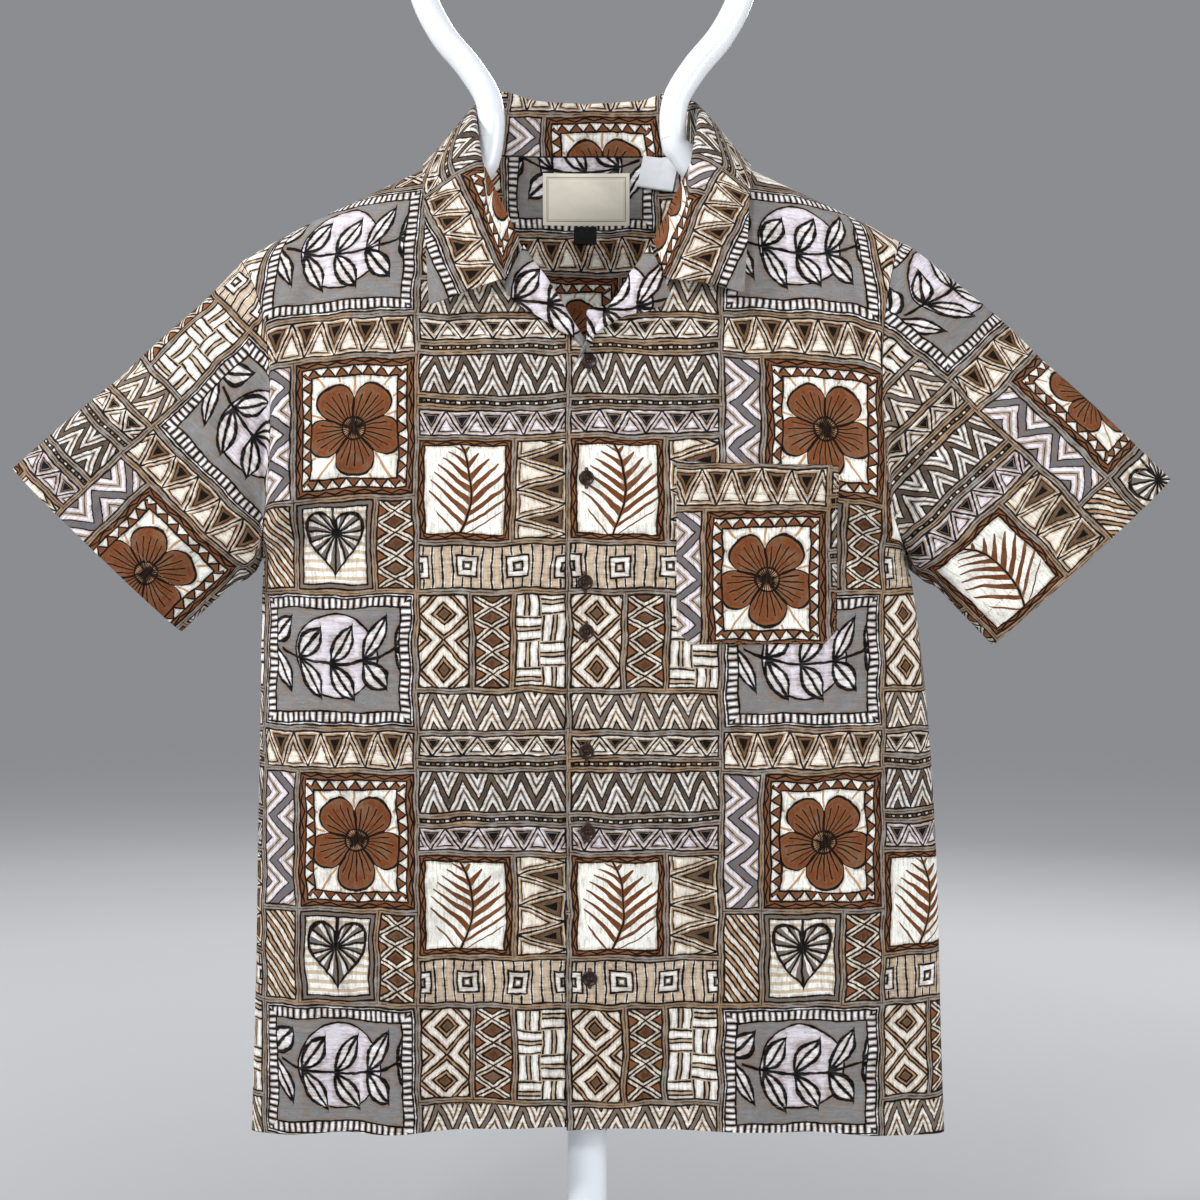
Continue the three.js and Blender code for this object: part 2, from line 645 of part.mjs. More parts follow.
const loopHalf = HEAD_LOOP.slice(1);
const headLoop = [
  ...loopHalf.map(([x, z]) => [LOOP_SHIFT - x, z]).reverse(),
  [LOOP_SHIFT, HEAD_LOOP[0][1]],
  ...loopHalf.map(([x, z]) => [LOOP_SHIFT + x, z]),
];
add(shirt, "head_loop", bentTube(headLoop, 44), whitePaint());

// From the foot of the head loop out under the shoulder seam, round its end and in to the hub.
function armPoints(side) {
  const [neckX, neckZ] = [HEAD_LOOP.at(-1)[0] + side * LOOP_SHIFT, HEAD_LOOP.at(-1)[1]];
  const [aboveX, aboveZ] = [HEAD_LOOP.at(-2)[0] + side * LOOP_SHIFT, HEAD_LOOP.at(-2)[1]];
  const step = new THREE.Vector2(neckX - aboveX, neckZ - aboveZ).normalize();
  const start = [neckX + step.x * ARM.joint, neckZ + step.y * ARM.joint];
  const under = (x) => [x, shoulderHeight(x) - SHOULDER_CLEAR];
  const turn = shoulderHeight(ARM.tip) - SHOULDER_CLEAR - ARM.turn;
  const points = [
    start,
    [start[0] + step.x * 5, start[1] + step.y * 5],
    [mix(start[0], 82, 0.6), 787],
    [83.5, 778],
    [92, 769.5],
    [105, 764.8],
    under(119),
    under(148),
    under(190),
    under(228),
    [ARM.tip - 8, under(ARM.tip - 8)[1] - 3],
    [ARM.tip, turn + 6],
    [ARM.tip - 14, turn - 18],
    [190, mix(turn - 18, ARM.hubHeight, 0.28)],
    [110, mix(turn - 18, ARM.hubHeight, 0.7)],
    [58, ARM.hubHeight + 3],
    [38, ARM.hubHeight],
    [HUB.radius + ARM.joint, ARM.hubHeight],
  ];
  return points.map(([x, z]) => [side * x, z]);
}
add(shirt, "shoulder_tube_left", bentTube(armPoints(1), 44), whitePaint());
add(shirt, "shoulder_tube_right", bentTube(armPoints(-1), 44), whitePaint());

// A turned piece about the pole's axis, from a profile of radius and height that ends on the axis.
function turned(profile) {
  const geometry = new THREE.LatheGeometry(profile.map(([r, z]) => new THREE.Vector2(r, z)), ROUND_SIDES);
  return geometry.rotateX(Math.PI / 2);
}

const hubLow = HUB.low;
add(shirt, "hub", turned([
  [0, POLE.top + 0.3],
  [POLE.radius + 0.3, POLE.top + 0.3],
  [POLE.radius + 0.3, hubLow],
  [HUB.radius, hubLow],
  [HUB.radius, HUB.high - 4],
  [HUB.radius - 4, HUB.high],
  [0, HUB.high],
]), whitePaint());

const poleFoot = BASE.thick + 0.3;
add(stand, "pole", turned([
  [0, poleFoot],
  [POLE.radius, poleFoot],
  [POLE.radius, HEM_HEIGHT + POLE.top],
  [0, HEM_HEIGHT + POLE.top],
]), whitePaint());
add(stand, "base", turned([
  [0, 0],
  [BASE.radius - BASE.edge, 0],
  [BASE.radius, BASE.edge],
  [BASE.radius, BASE.thick - BASE.edge],
  [BASE.radius - BASE.edge, BASE.thick],
  [BASE.socket, BASE.thick],
  [BASE.socket, BASE.socketHigh - 3],
  [BASE.socket - 3, BASE.socketHigh],
  [POLE.radius + 0.3, BASE.socketHigh],
  [POLE.radius + 0.3, BASE.thick],
  [0, BASE.thick],
]), whitePaint());

const garment = new THREE.Group();
garment.add(shirt, stand);
export default garment;
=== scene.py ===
"""A short-sleeved camp shirt in patchwork-printed cotton, buttoned up on a white tube clothes stand."""

import math

import bpy
import numpy as np
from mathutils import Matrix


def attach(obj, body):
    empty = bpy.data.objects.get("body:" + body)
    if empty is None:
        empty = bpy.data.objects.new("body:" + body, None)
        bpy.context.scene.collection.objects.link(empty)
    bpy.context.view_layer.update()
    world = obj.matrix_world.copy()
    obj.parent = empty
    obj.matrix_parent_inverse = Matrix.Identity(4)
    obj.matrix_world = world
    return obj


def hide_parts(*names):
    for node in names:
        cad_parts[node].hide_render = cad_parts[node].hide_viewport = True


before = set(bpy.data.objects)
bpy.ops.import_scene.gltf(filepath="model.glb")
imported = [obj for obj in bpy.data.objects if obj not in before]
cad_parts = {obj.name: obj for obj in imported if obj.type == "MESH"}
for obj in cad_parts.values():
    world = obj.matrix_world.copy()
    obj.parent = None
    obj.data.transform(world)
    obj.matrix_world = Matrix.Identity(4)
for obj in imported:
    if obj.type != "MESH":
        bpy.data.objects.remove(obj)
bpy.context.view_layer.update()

# ---- Sizes ----------------------------------------------------------------------------------
# Lengths are in millimetres until a mesh is made. Heights are counted from the front hem at the
# centre line; x is towards the wearer's left and y towards the back, both from the pole.
MM = 0.001
HEM_HEIGHT = 240.0
ARMPIT = 455.0
NECK_POINT = (95.0, 791.0)  # x and height where the shoulder seam meets the collar
SHOULDER_SLOPE = 0.465
SHOULDER_ROUND = {"from": 200.0, "bend": 0.0009}  # from this x outwards the seam falls ever faster
DRAPE_LENGTH = 110.0  # how soon below the shoulder the body reaches its full depth
SIDE_ROUNDNESS = 2.8
UNDERARM_OPENING = {"rate": 2.2, "ease": 20.0}  # how the body widens into the sleeve above the armpit
HEM_DROP = {"side": 10.0, "at": 270.0}  # how much lower the hem hangs, and at which x
OVERLAP = 16.0  # how far each front reaches past the centre line
OVERLAP_LIFT = {"height": 2.0, "full": 22.0, "none": 70.0}  # lift of the left front, by x
NECK_DEPTH = {"front": 60.0, "back": 209.0}  # how high the line that the cloth hangs from rises there
BACK_NECKLINE_RISE = 4.0
PLY = 0.55  # one thickness of the cotton
TURNED = 1.3  # a turned and pressed hem
COLLAR_WALL, FACING_WALL, LABEL_WALL, TAPE_WALL = 1.5, 1.1, 0.4, 0.3

BODY_DEPTH = {"height": (-20, 220, 430, 800), "front": (33, 46, 52, 52), "back": (30, 42, 50, 50)}
SIDE_SEAM = {  # half the body's width by height
    "height": (-20, 66, 151, 226, 326, 430, 455),
    "left": (292, 289, 287, 284.5, 278, 266, 261),
    "right": (274, 271.5, 269.5, 268.5, 266.5, 265, 264),
}
ARMHOLE = {  # x by share of the way from the armpit to the shoulder's tip
    "rise": (0, 0.13, 0.3, 0.52, 0.76, 0.9, 1),
    "left": (261, 245, 238, 235, 238, 245.5, 254),
    "right": (264, 258, 252.5, 251.5, 256.5, 267, 281),
}
NECKLINE = {  # the front edge's top, by x
    "x": (-16, -12, -6, 2, 12, 22, 34, 45, 54, 66, 80, 90, 95),
    "height": (581, 600, 614, 625, 638, 655, 675, 690, 707, 733, 764, 783, 791),
}
FOLDS = {  # x at the hem, lean, lowest and highest height, half width, rise
    "front": [
        (-236, 0.02, -40, 440, 22, 5.9), (-196, 0.10, -40, 330, 20, -6.5), (-150, 0.05, -40, 410, 24, 6.5),
        (-92, -0.03, -40, 300, 24, -4.5), (-46, 0.02, -40, 210, 16, 2.3), (70, 0.04, -40, 320, 22, -3.9),
        (122, -0.02, -40, 270, 22, 4.5), (176, -0.12, -40, 420, 20, -5.2), (226, -0.06, -40, 440, 24, 7.8),
    ],
    "back": [
        (-196, 0.10, -40, 560, 28, 7.0), (-128, 0.06, -40, 640, 26, -6.0), (-66, 0.03, -40, 520, 28, 6.5),
        (6, -0.02, -40, 600, 24, -4.5), (62, -0.04, -40, 560, 28, 6.0), (132, -0.10, -40, 640, 26, -6.5),
        (204, -0.10, -40, 520, 30, 7.0),
    ],
}
CREASES = {  # from x and height, to x and height, half width, rise
    "front": [
        (250, 478, 142, 566, 9, 4.0), (254, 462, 168, 500, 8, -3.4), (258, 446, 196, 420, 9, 3.7),
        (262, 430, 222, 340, 9, -3.1), (-256, 474, -160, 556, 9, 3.7), (-258, 458, -176, 480, 8, -3.1),
        (-262, 440, -206, 396, 9, 3.6), (-262, 420, -236, 318, 9, -2.8), (206, 716, 232, 560, 11, -3.4),
        (176, 700, 190, 600, 12, 1.9), (-214, 716, -244, 566, 11, -3.3), (-180, 706, -196, 596, 12, 1.7),
        (62, 646, 160, 590, 15, 2.6), (-60, 646, -158, 584, 15, 2.5), (22, 566, 66, 548, 7, 1.4),
        (-22, 560, -72, 536, 7, 1.4), (20, 470, 56, 480, 7, 1.2), (-20, 474, -64, 462, 8, -1.4),
        (24, 352, 92, 330, 9, 1.9), (-22, 350, -88, 338, 9, 1.7), (24, 180, 76, 196, 8, -1.6),
        (-22, 172, -80, 160, 9, 1.6), (30, 500, 17, 60, 8, 1.4), (-236, 300, -118, 238, 12, 3.1),
        (240, 330, 120, 262, 12, 3.4), (-60, 196, -184, 128, 13, -2.8), (92, 210, 196, 130, 12, -2.8),
        (-232, 512, -206, 640, 10, -3.0), (228, 520, 206, 636, 10, -3.2), (-254, 380, -120, 420, 11, 2.4),
        (258, 372, 128, 404, 12, 2.6), (-150, 700, -84, 560, 14, -2.2), (140, 706, 92, 600, 12, -2.2),
        (-36, 590, -150, 470, 12, -1.8), (-130, 330, -30, 252, 11, 1.8), (150, 352, 46, 246, 13, -2.0),
    ],
    "back": [
        (250, 500, 118, 604, 11, 4.7), (252, 470, 150, 520, 10, -4.0), (-254, 500, -112, 612, 11, 5.0),
        (-254, 468, -148, 508, 10, -4.0), (96, 742, -90, 740, 13, 3.4), (74, 716, -60, 722, 12, -2.2),
        (200, 690, 232, 540, 12, -3.4), (-206, 690, -240, 540, 12, -3.4), (236, 330, 96, 270, 14, 3.7),
        (-240, 300, -104, 220, 14, 4.0), (-40, 690, -150, 560, 15, -3.2), (50, 690, 160, 548, 15, -3.0),
        (-20, 470, -170, 380, 15, 3.0), (40, 440, 190, 396, 14, -2.8),
    ],
}
CUFF = {  # x and height of its ends, half its depth, and the rise of the sleeve's top line
    "left": {"top": (475, 521), "bottom": (330, 386), "depth": 19, "crown": 8},
    "right": {"top": (467, 530), "bottom": (330, 397), "depth": 19, "crown": -5},
}
CUFF_FORWARD = -6.0
UNDERARM_DROP = {"down": 9.0, "out": 2.0, "reach": 0.34}  # slack cloth, up to this share of the sleeve

COLLAR = {  # rows from the centre back to the front end
    "on_back": 4,  # how many of the rows lie on the back
    "seam_x": (0, 46, 78, 94, 93, 84, 70, 53),
    "crest": ((0, 49, 840), (44, 46, 842), (72, 34, 846), (92.5, 11, 827),
              (91.5, -17, 806), (85, -38, 760), (82, -50, 712), (66, -56, 674)),
    "fall": ((0, 60, 806), (52, 57, 808), (90, 40, 812), (111, 12, 802),
             (111, -20, 789), (107, -42, 750), (105, -51, 706), (94, -56, 664)),
    "edge": ((0, 61, 773), (56, 57, 773), (103, 42, 778), (130, 7, 780),
             (131.5, -20, 766), (129, -38, 736), (127, -46, 700), (124, -51, 655)),
    "out": (90, 82, 55, 15, -8, -14, -18, -30),  # bearing of the leaf at the crest, from +x
}
COLLAR_TIP_RISE = {"left": 9.0, "right": 0.0}
COLLAR_ROLL = 5.0
COLLAR_FORWARD = 2.4  # on the fronts the collar lies against the outside of the neck edge
FACING = {  # rows down the front from the collar's end: the roll's crest and the outer edges
    "crest": ((51, 701), (43.5, 689), (33, 675), (21, 655), (11.5, 639), (3, 627), (-5, 616)),
    "left": ((66, 665), (59, 654.5), (47, 649.5), (30.5, 646), (15, 637), (3, 629), (-4, 618)),
    "right": ((65, 671), (61, 662), (50, 652.5), (36, 644.5), (21, 634.5), (9, 628), (0, 617)),
}
FACING_ROLL = 4.5
FACING_INSIDE = 26.0
FACING_ROWS, FACING_COLUMNS = 44, (12, 18)

POCKET = {"left": 71.0, "right": 199.0, "top": 531.0, "bottom": 387.0, "corner": 11.0, "slant": 2.5}
POCKET_ROWS, POCKET_COLUMNS, POCKET_HEM_ROWS = 60, 54, 10
POCKET_CLEAR = 0.35  # the gap between the pocket and the front
BUTTONS = ((2, 610), (0, 518), (-1, 436), (0, 397), (0, 303), (1, 239), (2.5, 122))
BUTTON_RADIUS = 6.1
NECK_LABEL = {"x": -1, "height": 760, "wide": 73, "tall": 43, "tilt": 0.0}
SIZE_TAB = {"x": -2, "height": 729.5, "wide": 19, "tall": 16, "tilt": 0.0}
CARE_LABEL = {"x": 59, "height": 779, "wide": 30, "tall": 27, "tilt": -0.2}

PRINT_AT = {  # how far each piece is shifted on the print's repeat
    "front_left": (130, 231), "front_right": (30, 231), "back": (60, 150), "sleeve_left": (80, -20),
    "sleeve_right": (190, 60), "collar": (30, 152), "facing_left": (48, -48), "facing_right": (92, -52),
    "pocket": (-60, 23),
}

TUBE_RADIUS = 11.0
POLE_RADIUS = 16.0


# ---- Finishes -------------------------------------------------------------------------------
def operator(operation):
    return lambda self, *others: self.math(operation, *others)


class Wire:
    """One number, colour or vector on its way between two nodes."""

    def __init__(self, finish, socket):
        self.finish = finish
        self.socket = socket

    def math(self, operation, *others):
        sockets = dict(zip(("Value", "Value_001", "Value_002"), (self, *others)))
        return self.finish.node("Math", {"operation": operation}, sockets)

    def vector(self, operation, **sockets):
        return self.finish.node("VectorMath", {"operation": operation}, {"Vector": self, **sockets})

    __add__ = __radd__ = operator("ADD")
    __sub__ = operator("SUBTRACT")
    __mul__ = __rmul__ = operator("MULTIPLY")
    __truediv__ = operator("DIVIDE")
    __pow__ = operator("POWER")
    __lt__ = operator("LESS_THAN")
    __gt__ = operator("GREATER_THAN")
    __abs__ = operator("ABSOLUTE")
    low = operator("MINIMUM")
    high = operator("MAXIMUM")
    times_plus = operator("MULTIPLY_ADD")
    root = operator("SQRT")
    turn_from = operator("ARCTAN2")
    fraction = operator("FRACT")
    floor = operator("FLOOR")
    remainder = operator("MODULO")
    wrap = operator("FLOORED_MODULO")
    alternate = operator("PINGPONG")

    def __rsub__(self, other):
        return self.finish.node("Math", {"operation": "SUBTRACT"}, {"Value": other, "Value_001": self})

    def lines(self, pitch):
        """Distance to the nearest of evenly spaced lines."""
        return self.alternate(pitch / 2)

    def is_near(self, number):
        return self.math("COMPARE", number, 0.5)

    def share(self, low, high):
        """0 below low, 1 above high, evenly between them."""
        return self.finish.node("MapRange", {}, {"Value": self, "From Min": low, "From Max": high})


RAMP_TABLE = 256  # a ramp is looked up in a table of this many entries


class Finish:
    """A material and the nodes that paint it."""

    def __init__(self, name):
        self.material = bpy.data.materials.new(name)
        self.material.use_nodes = True
        self.tree = self.material.node_tree
        self.surface = self.tree.nodes["Principled BSDF"]

    def fill(self, socket, value):
        """Links a wire to a socket, or sets the socket to a constant."""
        if isinstance(value, Wire):
            self.tree.links.new(value.socket, socket)
        else:
            socket.default_value = value

    def node(self, kind, settings=None, sockets=None, output=None):
        made = self.tree.nodes.new("ShaderNode" + kind)
        for key, value in (settings or {}).items():
            setattr(made, key, value)
        for key, value in (sockets or {}).items():
            self.fill(next(s for s in made.inputs if s.identifier == key and s.enabled), value)
        return Wire(self, next(s for s in made.outputs if s.enabled and output in (None, s.identifier)))

    def other_output(self, wire, name):
        return Wire(self, wire.socket.node.outputs[name])

    def steps(self, at, rows):
        """Looks up whole numbers: each row is where it starts and the four numbers it holds."""
        looked_up = self.node("ValToRGB", {}, {"Fac": at / RAMP_TABLE})
        ramp = looked_up.socket.node.color_ramp
        ramp.interpolation = "CONSTANT"
        while len(ramp.elements) < len(rows):
            ramp.elements.new(1)
        for element, (start, numbers) in zip(ramp.elements, rows):
            element.position = max(0, (start - 0.5) / RAMP_TABLE)
            element.color = numbers
        return looked_up

    def mix(self, factor, a, b, how="MIX"):
        settings = {"data_type": "RGBA", "blend_type": how}
        return self.node("Mix", settings, {"Factor_Float": factor, "A_Color": a, "B_Color": b}, "Result_Color")

    def noise(self, place, size, detail=0.0, roughness=0.5, flat=True, output="Fac"):
        settings = {"noise_dimensions": "2D" if flat else "3D"}
        sockets = {"Vector": place, "Scale": 1 / size, "Detail": detail, "Roughness": roughness}
        return self.node("TexNoise", settings, sockets, output)

    def split(self, wire):
        parts = self.node("SeparateXYZ", {}, {"Vector": wire})
        return parts, self.other_output(parts, "Y"), self.other_output(parts, "Z")

    def flat_cloth(self):
        """The place on the flat cloth, in millimetres."""
        return self.node("UVMap", {"uv_map": "cloth"}).vector("SCALE", Scale=1 / MM)

    def place(self):
        """The place in the shared frame, in metres."""
        return self.node("TexCoord", output="Object")

    def bump(self, height, distance=0.001, strength=1.0):
        return self.node("Bump", {}, {"Strength": strength, "Distance": distance, "Height": height})

    def done(self, **sockets):
        """The material, with what its surface's inputs are given."""
        for key, value in sockets.items():
            self.fill(self.surface.inputs[key.replace("_", " ")], value)
        return self.material


def colour(code, share=1.0):
    """A paint colour from its six-figure code."""
    parts = [int(code[k : k + 2], 16) / 255 for k in (0, 2, 4)]
    return (*[(c / 12.92 if c <= 0.04045 else ((c + 0.055) / 1.055) ** 2.4) * share for c in parts], 1)


# ---- The print ------------------------------------------------------------------------------
# Blocks of leaves and old barkcloth figures. One repeat has two columns of bands, listed from
# the bottom up, and each band holds blocks from left to right.
BAND_STEP, BLOCK_STEP = 2.6, 11.0  # the bands' heights and the blocks' widths are counted in these
COLUMN_STEPS = (12, 11)
REPEAT_BANDS = 127
BLOCKS_PER_BAND = 12
PACK = 16  # numbers below this are kept in colours, as shares of it
GUTTER = 2.5
PANELS = ("fern", "taro leaf", "hibiscus", "sprig")
FIGURES = (*PANELS, "zigzag", "triangles", "diamonds", "squares", "lattice", "basket", "hatch", "beads")
INKS = {  # ground, second colour, accent and line
    "plain": ("EAE7E0", "C3AF96", "6E655E", "0B0908"),
    "grey": ("E3E0DA", "9E9995", "3C3A39", "080707"),
    "lilac": ("DED8DF", "B0A194", "66656A", "0C0A0A"),
    "tan": ("E6DFD2", "B28E6C", "54402F", "110A07"),
    "earth": ("E4DCCD", "A88662", "4C3C31", "0F0A07"),
    "rust": ("E6DDCE", "7C4626", "54321F", "160B06"),
    "fern": ("E9E9E0", "683A1C", "7A4622", "1E0D05"),
    "hibiscus": ("EAEAE2", "703C1F", "B88F6C", "140905"),
    "sprig": ("ECE9EA", "D2CCD4", "7C7B7B", "060505"),
    "taro": ("EAE8E2", "C6B59C", "656361", "090706"),
}
GUTTER_PAINT, GUTTER_TINT, GUTTER_STREAK = "918D88", "9C856D", "33302D"
WAYS = tuple(INKS)
COLUMNS = (
    (
        (29, ((3, "hatch", "tan"), (6, "taro leaf", "taro"), (3, "lattice", "rust"))),
        (43, ((3, "zigzag", "lilac"), (9, "hibiscus", "hibiscus"))),
        (13, ((12, "triangles", "tan"),)),
        (42, ((12, "sprig", "sprig"),)),
    ),
    (
        (15, ((11, "squares", "plain"),)),
        (32, ((7, "fern", "fern"), (4, "triangles", "earth"))),
        (9, ((11, "triangles", "lilac"),)),
        (3, ((11, "beads", "grey"),)),
        (14, ((11, "zigzag", "grey"),)),
        (3, ((11, "beads", "tan"),)),
        (8, ((11, "triangles", "plain"),)),
        (13, ((11, "zigzag", "plain"),)),
        (30, ((4, "diamonds", "tan"), (3, "lattice", "rust"), (4, "basket", "plain"))),
    ),
)


def print_tables():
    """The bands, and the blocks in them, as rows that a ramp can hold."""
    band_rows, block_rows = [], []
    for column, bands in enumerate(COLUMNS):
        start = 0
        for tall, blocks in bands:
            number = len(band_rows)
            middle = (start + tall / 2) / REPEAT_BANDS
            band_rows.append((column * REPEAT_BANDS + start, (middle, tall / REPEAT_BANDS, number / PACK, 1)))
            left = 0
            for wide, figure, way in blocks:
                numbers = (left + wide / 2, wide, FIGURES.index(figure), WAYS.index(way))
                block_rows.append((number * BLOCKS_PER_BAND + left, tuple(n / PACK for n in numbers)))
                left += wide
            start += tall
    return band_rows, block_rows


def far(a, b):
    return (a * a + b * b).root()


def panel_figures(a, b, size):
    """The leaves and the flower: which paint they are in, and their lines."""
    figures = {}

    # A fern: a bowed rib, and leaflets that rise from it and narrow towards their tips.
    bent = (b / size) ** 2.0 * (size * 0.5) + a - size * 0.08
    side = abs(bent) - (1 - (b / (size * 0.56)) ** 2.0) * size * 0.5
    leaflet = (b - abs(bent) * 0.8).lines(9.6)
    stroke = leaflet - (side / size).times_plus(-5.6, 0.7)
    rib = abs(bent).high(abs(b) - size * 0.52)
    figures["fern"] = (((stroke < 0) * (side < 0)).high(rib < 1.1), rib.high(0.45))

    # A heart-shaped leaf over stripes, with ribs that fan out from its stalk.
    heart, rib_turn = size * 0.355, 0.42
    out = abs(a) / (heart * 1.15)
    rise = b / heart + 0.3
    side = (far(out, rise - out.root()) - 1) * heart
    fall = (0.7 - rise) * heart
    turn = abs(a).turn_from(fall)
    ribs = turn.lines(rib_turn) * far(a, fall)
    stalk = abs(a).high(fall)
    shaded = (side < 0) * ((turn / rib_turn).fraction() < 0.5) * 2
    lines = (abs(side) * 0.6).low((ribs * 0.8).high(side)).low(stalk * 0.5)
    figures["taro leaf"] = (shaded + (side > 0) * (b.lines(6.6) < 1.4), lines)

    # A flower of five petals with veins and an eye, and rays behind it.
    petal_turn = 0.4 * math.pi
    out = far(a, b)
    turn = b.turn_from(a) + 0.3
    petal = turn.lines(petal_turn) / (petal_turn / 2)
    side = out - (petal**3.0 * -0.2 + 0.51) * size
    eye = out - size * 0.12
    veins = (turn.lines(petal_turn / 6) * out).high(side + size * 0.1)
    lines = (abs(side) * 0.7).low(((1 - petal) * out * 0.45).high(side)).low(abs(eye) * 0.8).low(veins + 0.25)
    rays = (turn.lines(petal_turn / 4) * out < 0.9) * (side > 2.4) * 2
    figures["hibiscus"] = ((side < 0) * (1 + (eye < 0)) + rays, lines)

    # A bowed stem with slanting leaves in pairs, over a round sun.
    pitch, leaf_slant, leaf_middle = 27.0, 0.95, 18.5
    bent = (a / size) ** 2.0 * (size * -0.45) + b + size * 0.03
    cell = (a / pitch + 0.4).fraction().times_plus(pitch, -6.0)
    cosine, sine = math.cos(leaf_slant), math.sin(leaf_slant)
    reach = cell * cosine + abs(bent) * sine - leaf_middle
    off = abs(bent) * cosine - cell * sine
    blade = abs(off) - (1 - (reach / 17) ** 2.0) * 7.2
    stem = abs(bent).high(abs(a) - size * 0.5)
    sun = far(a, b - size * 0.04) - size * 0.36
    lines = (abs(blade) * 0.5).low((abs(off) * 0.6).high(abs(reach) - leaf_middle)).low(stem * 0.6)
    lines = lines.low((abs(sun) * 0.9).high(-1 * blade))
    figures["sprig"] = ((blade > 0) * (1 + (sun > 0)), lines)
    return figures


def strip_figures(a, b, half_a, half_b):
    """Figures in rows along the longer side of their block: s runs along it and c across it."""
    lying = half_a > half_b
    s = b + lying * (a - b)
    c = a + b - s
    half_c = half_a.low(half_b)
    inner = half_c - GUTTER
    figures = {}

    # Nested zigzags, wider in a block that stands upright.
    rise = (s.lines(lying.times_plus(-13.0, 36.0)) * lying.times_plus(0.95, 1.15) + c + 90).remainder(26.0)
    edges = (abs(rise - 4.5) * 1.3).low(abs(rise - 13) * 2).low(abs(rise - 21.5) * 1.3)
    role = (rise > 10) * (rise < 16) + (rise > 21.5).high(rise < 4.5) * 2
    figures["zigzag"] = (role, edges * lying.times_plus(-0.28, 0.64) * 1.2)

    # Triangles from both sides by turns: a pale rim, then the body. The dark ones have a black kernel.
    rim, body = 1.7, 3.2
    wave = s.lines(24.0).times_plus(1 / 6, -1.0) * inner
    off = (c - wave) / (inner * inner / 36 + 1).root()
    deep = abs(off).low(inner - abs(c))
    core = (off > 0) * 2 - 1
    kernel = (deep * -1 + inner * 0.2 + body).high(0) + (1 - core) * 9
    lines = abs(off).low(abs(deep - body) + 0.25).low(kernel)
    figures["triangles"] = ((deep > rim) + (deep > body) * core, lines)

    # One cell of a row: nested diamonds, nested squares between bars, or a bead.
    share = (s / (half_c * 2)).fraction()
    cell = abs(share - 0.5) * half_c * 2
    diamond = cell + abs(c)
    ring = diamond.remainder(13.0)
    figures["diamonds"] = ((ring > 5.5) * (ring < 9.5) + (diamond < 5.5) * 2, abs(abs(ring - 7.5) - 2) * 0.7)
    big, small = 8.4, 3.4
    square = cell.high(abs(c))
    bars = share.lines(0.2) * half_c * 2
    lines = abs(square - big).low(abs(square - small)).low(bars.high(10.2 - square))
    figures["squares"] = ((square > big) * (bars > 1.4) + (square < small) * (square > 1.6) * 2, lines * 0.9)
    bead = far(cell, c)
    figures["beads"] = ((bead > 1.9) * 2, abs(bead - 2.0))

    lattice = abs((s / half_c).lines(2.2).times_plus(1.82, -1.0)) * inner - abs(c)
    lines = abs(lattice).low(abs(lattice - 5.5)).low(abs(lattice + 6.0)) * 0.55
    figures["lattice"] = ((lattice < -6) + (lattice > 5.5) * 2, lines)

    check = 21
    odd = ((a / check).floor() + (b / check).floor()).alternate(1.0)
    strand = (a + odd * (b - a)).lines(check / 2)
    figures["basket"] = (strand < 1.7, abs(strand - 1.7))
    slash = (a + b * 0.8).lines(10.0)
    figures["hatch"] = (slash < 2.2, abs(slash - 2.2) * 0.8)
    return figures


def frame_of(a, b, edge_a, edge_b, edge, figure):
    """A block's border: its width, the paint in it and its lines."""
    nowhere = 9  # further than any ink reaches
    panel = figure < len(PANELS) - 0.5
    banded = panel * (figure > 1.5)
    fern, taro, hibiscus, sprig = (figure.is_near(number) for number in range(len(PANELS)))
    wide = panel * 4.0 + banded * 6.5 + hibiscus.times_plus(2.0, GUTTER)
    along = a + (edge_a < edge_b) * (b - a)
    inner = edge - hibiscus.times_plus(3.0, 4.6)
    hatch = along.lines(5.2)
    teeth = along.lines(11.0).times_plus(-1.25, inner - 0.4)
    rungs = hatch * 1.1
    band_lines = (rungs + hibiscus * (abs(teeth) * 0.7 - rungs)).high(-1 * inner).low(abs(inner))
    wavy = abs(along.lines(15.0).times_plus(-0.3, edge - 3.6))
    lines = abs(edge - GUTTER).low(abs(edge - wide)).low(band_lines.high(edge - wide) + (1 - banded) * nowhere)
    lines = lines.low(wavy * 1.1 + (1 - hibiscus.high(fern)) * nowhere).low(edge + 0.5)
    role = hibiscus * (inner < 0).high(teeth > 0) + sprig * (inner > 0) * (hatch < 1.4) * 2
    return wide, role + (fern + taro) * 2, lines


def wobbled(finish, flat):
    """Places as an unsteady hand would draw them: a slow sway and a small shake."""
    drawn = flat
    for size, reach in ((28.0, 4.0), (6.0, 0.8)):
        off = finish.noise(flat, size, output="Color").vector("SUBTRACT", Vector_001=(0.5, 0.5, 0.5))
        drawn = drawn.vector("ADD", Vector_001=off.vector("SCALE", Scale=reach))
    return drawn


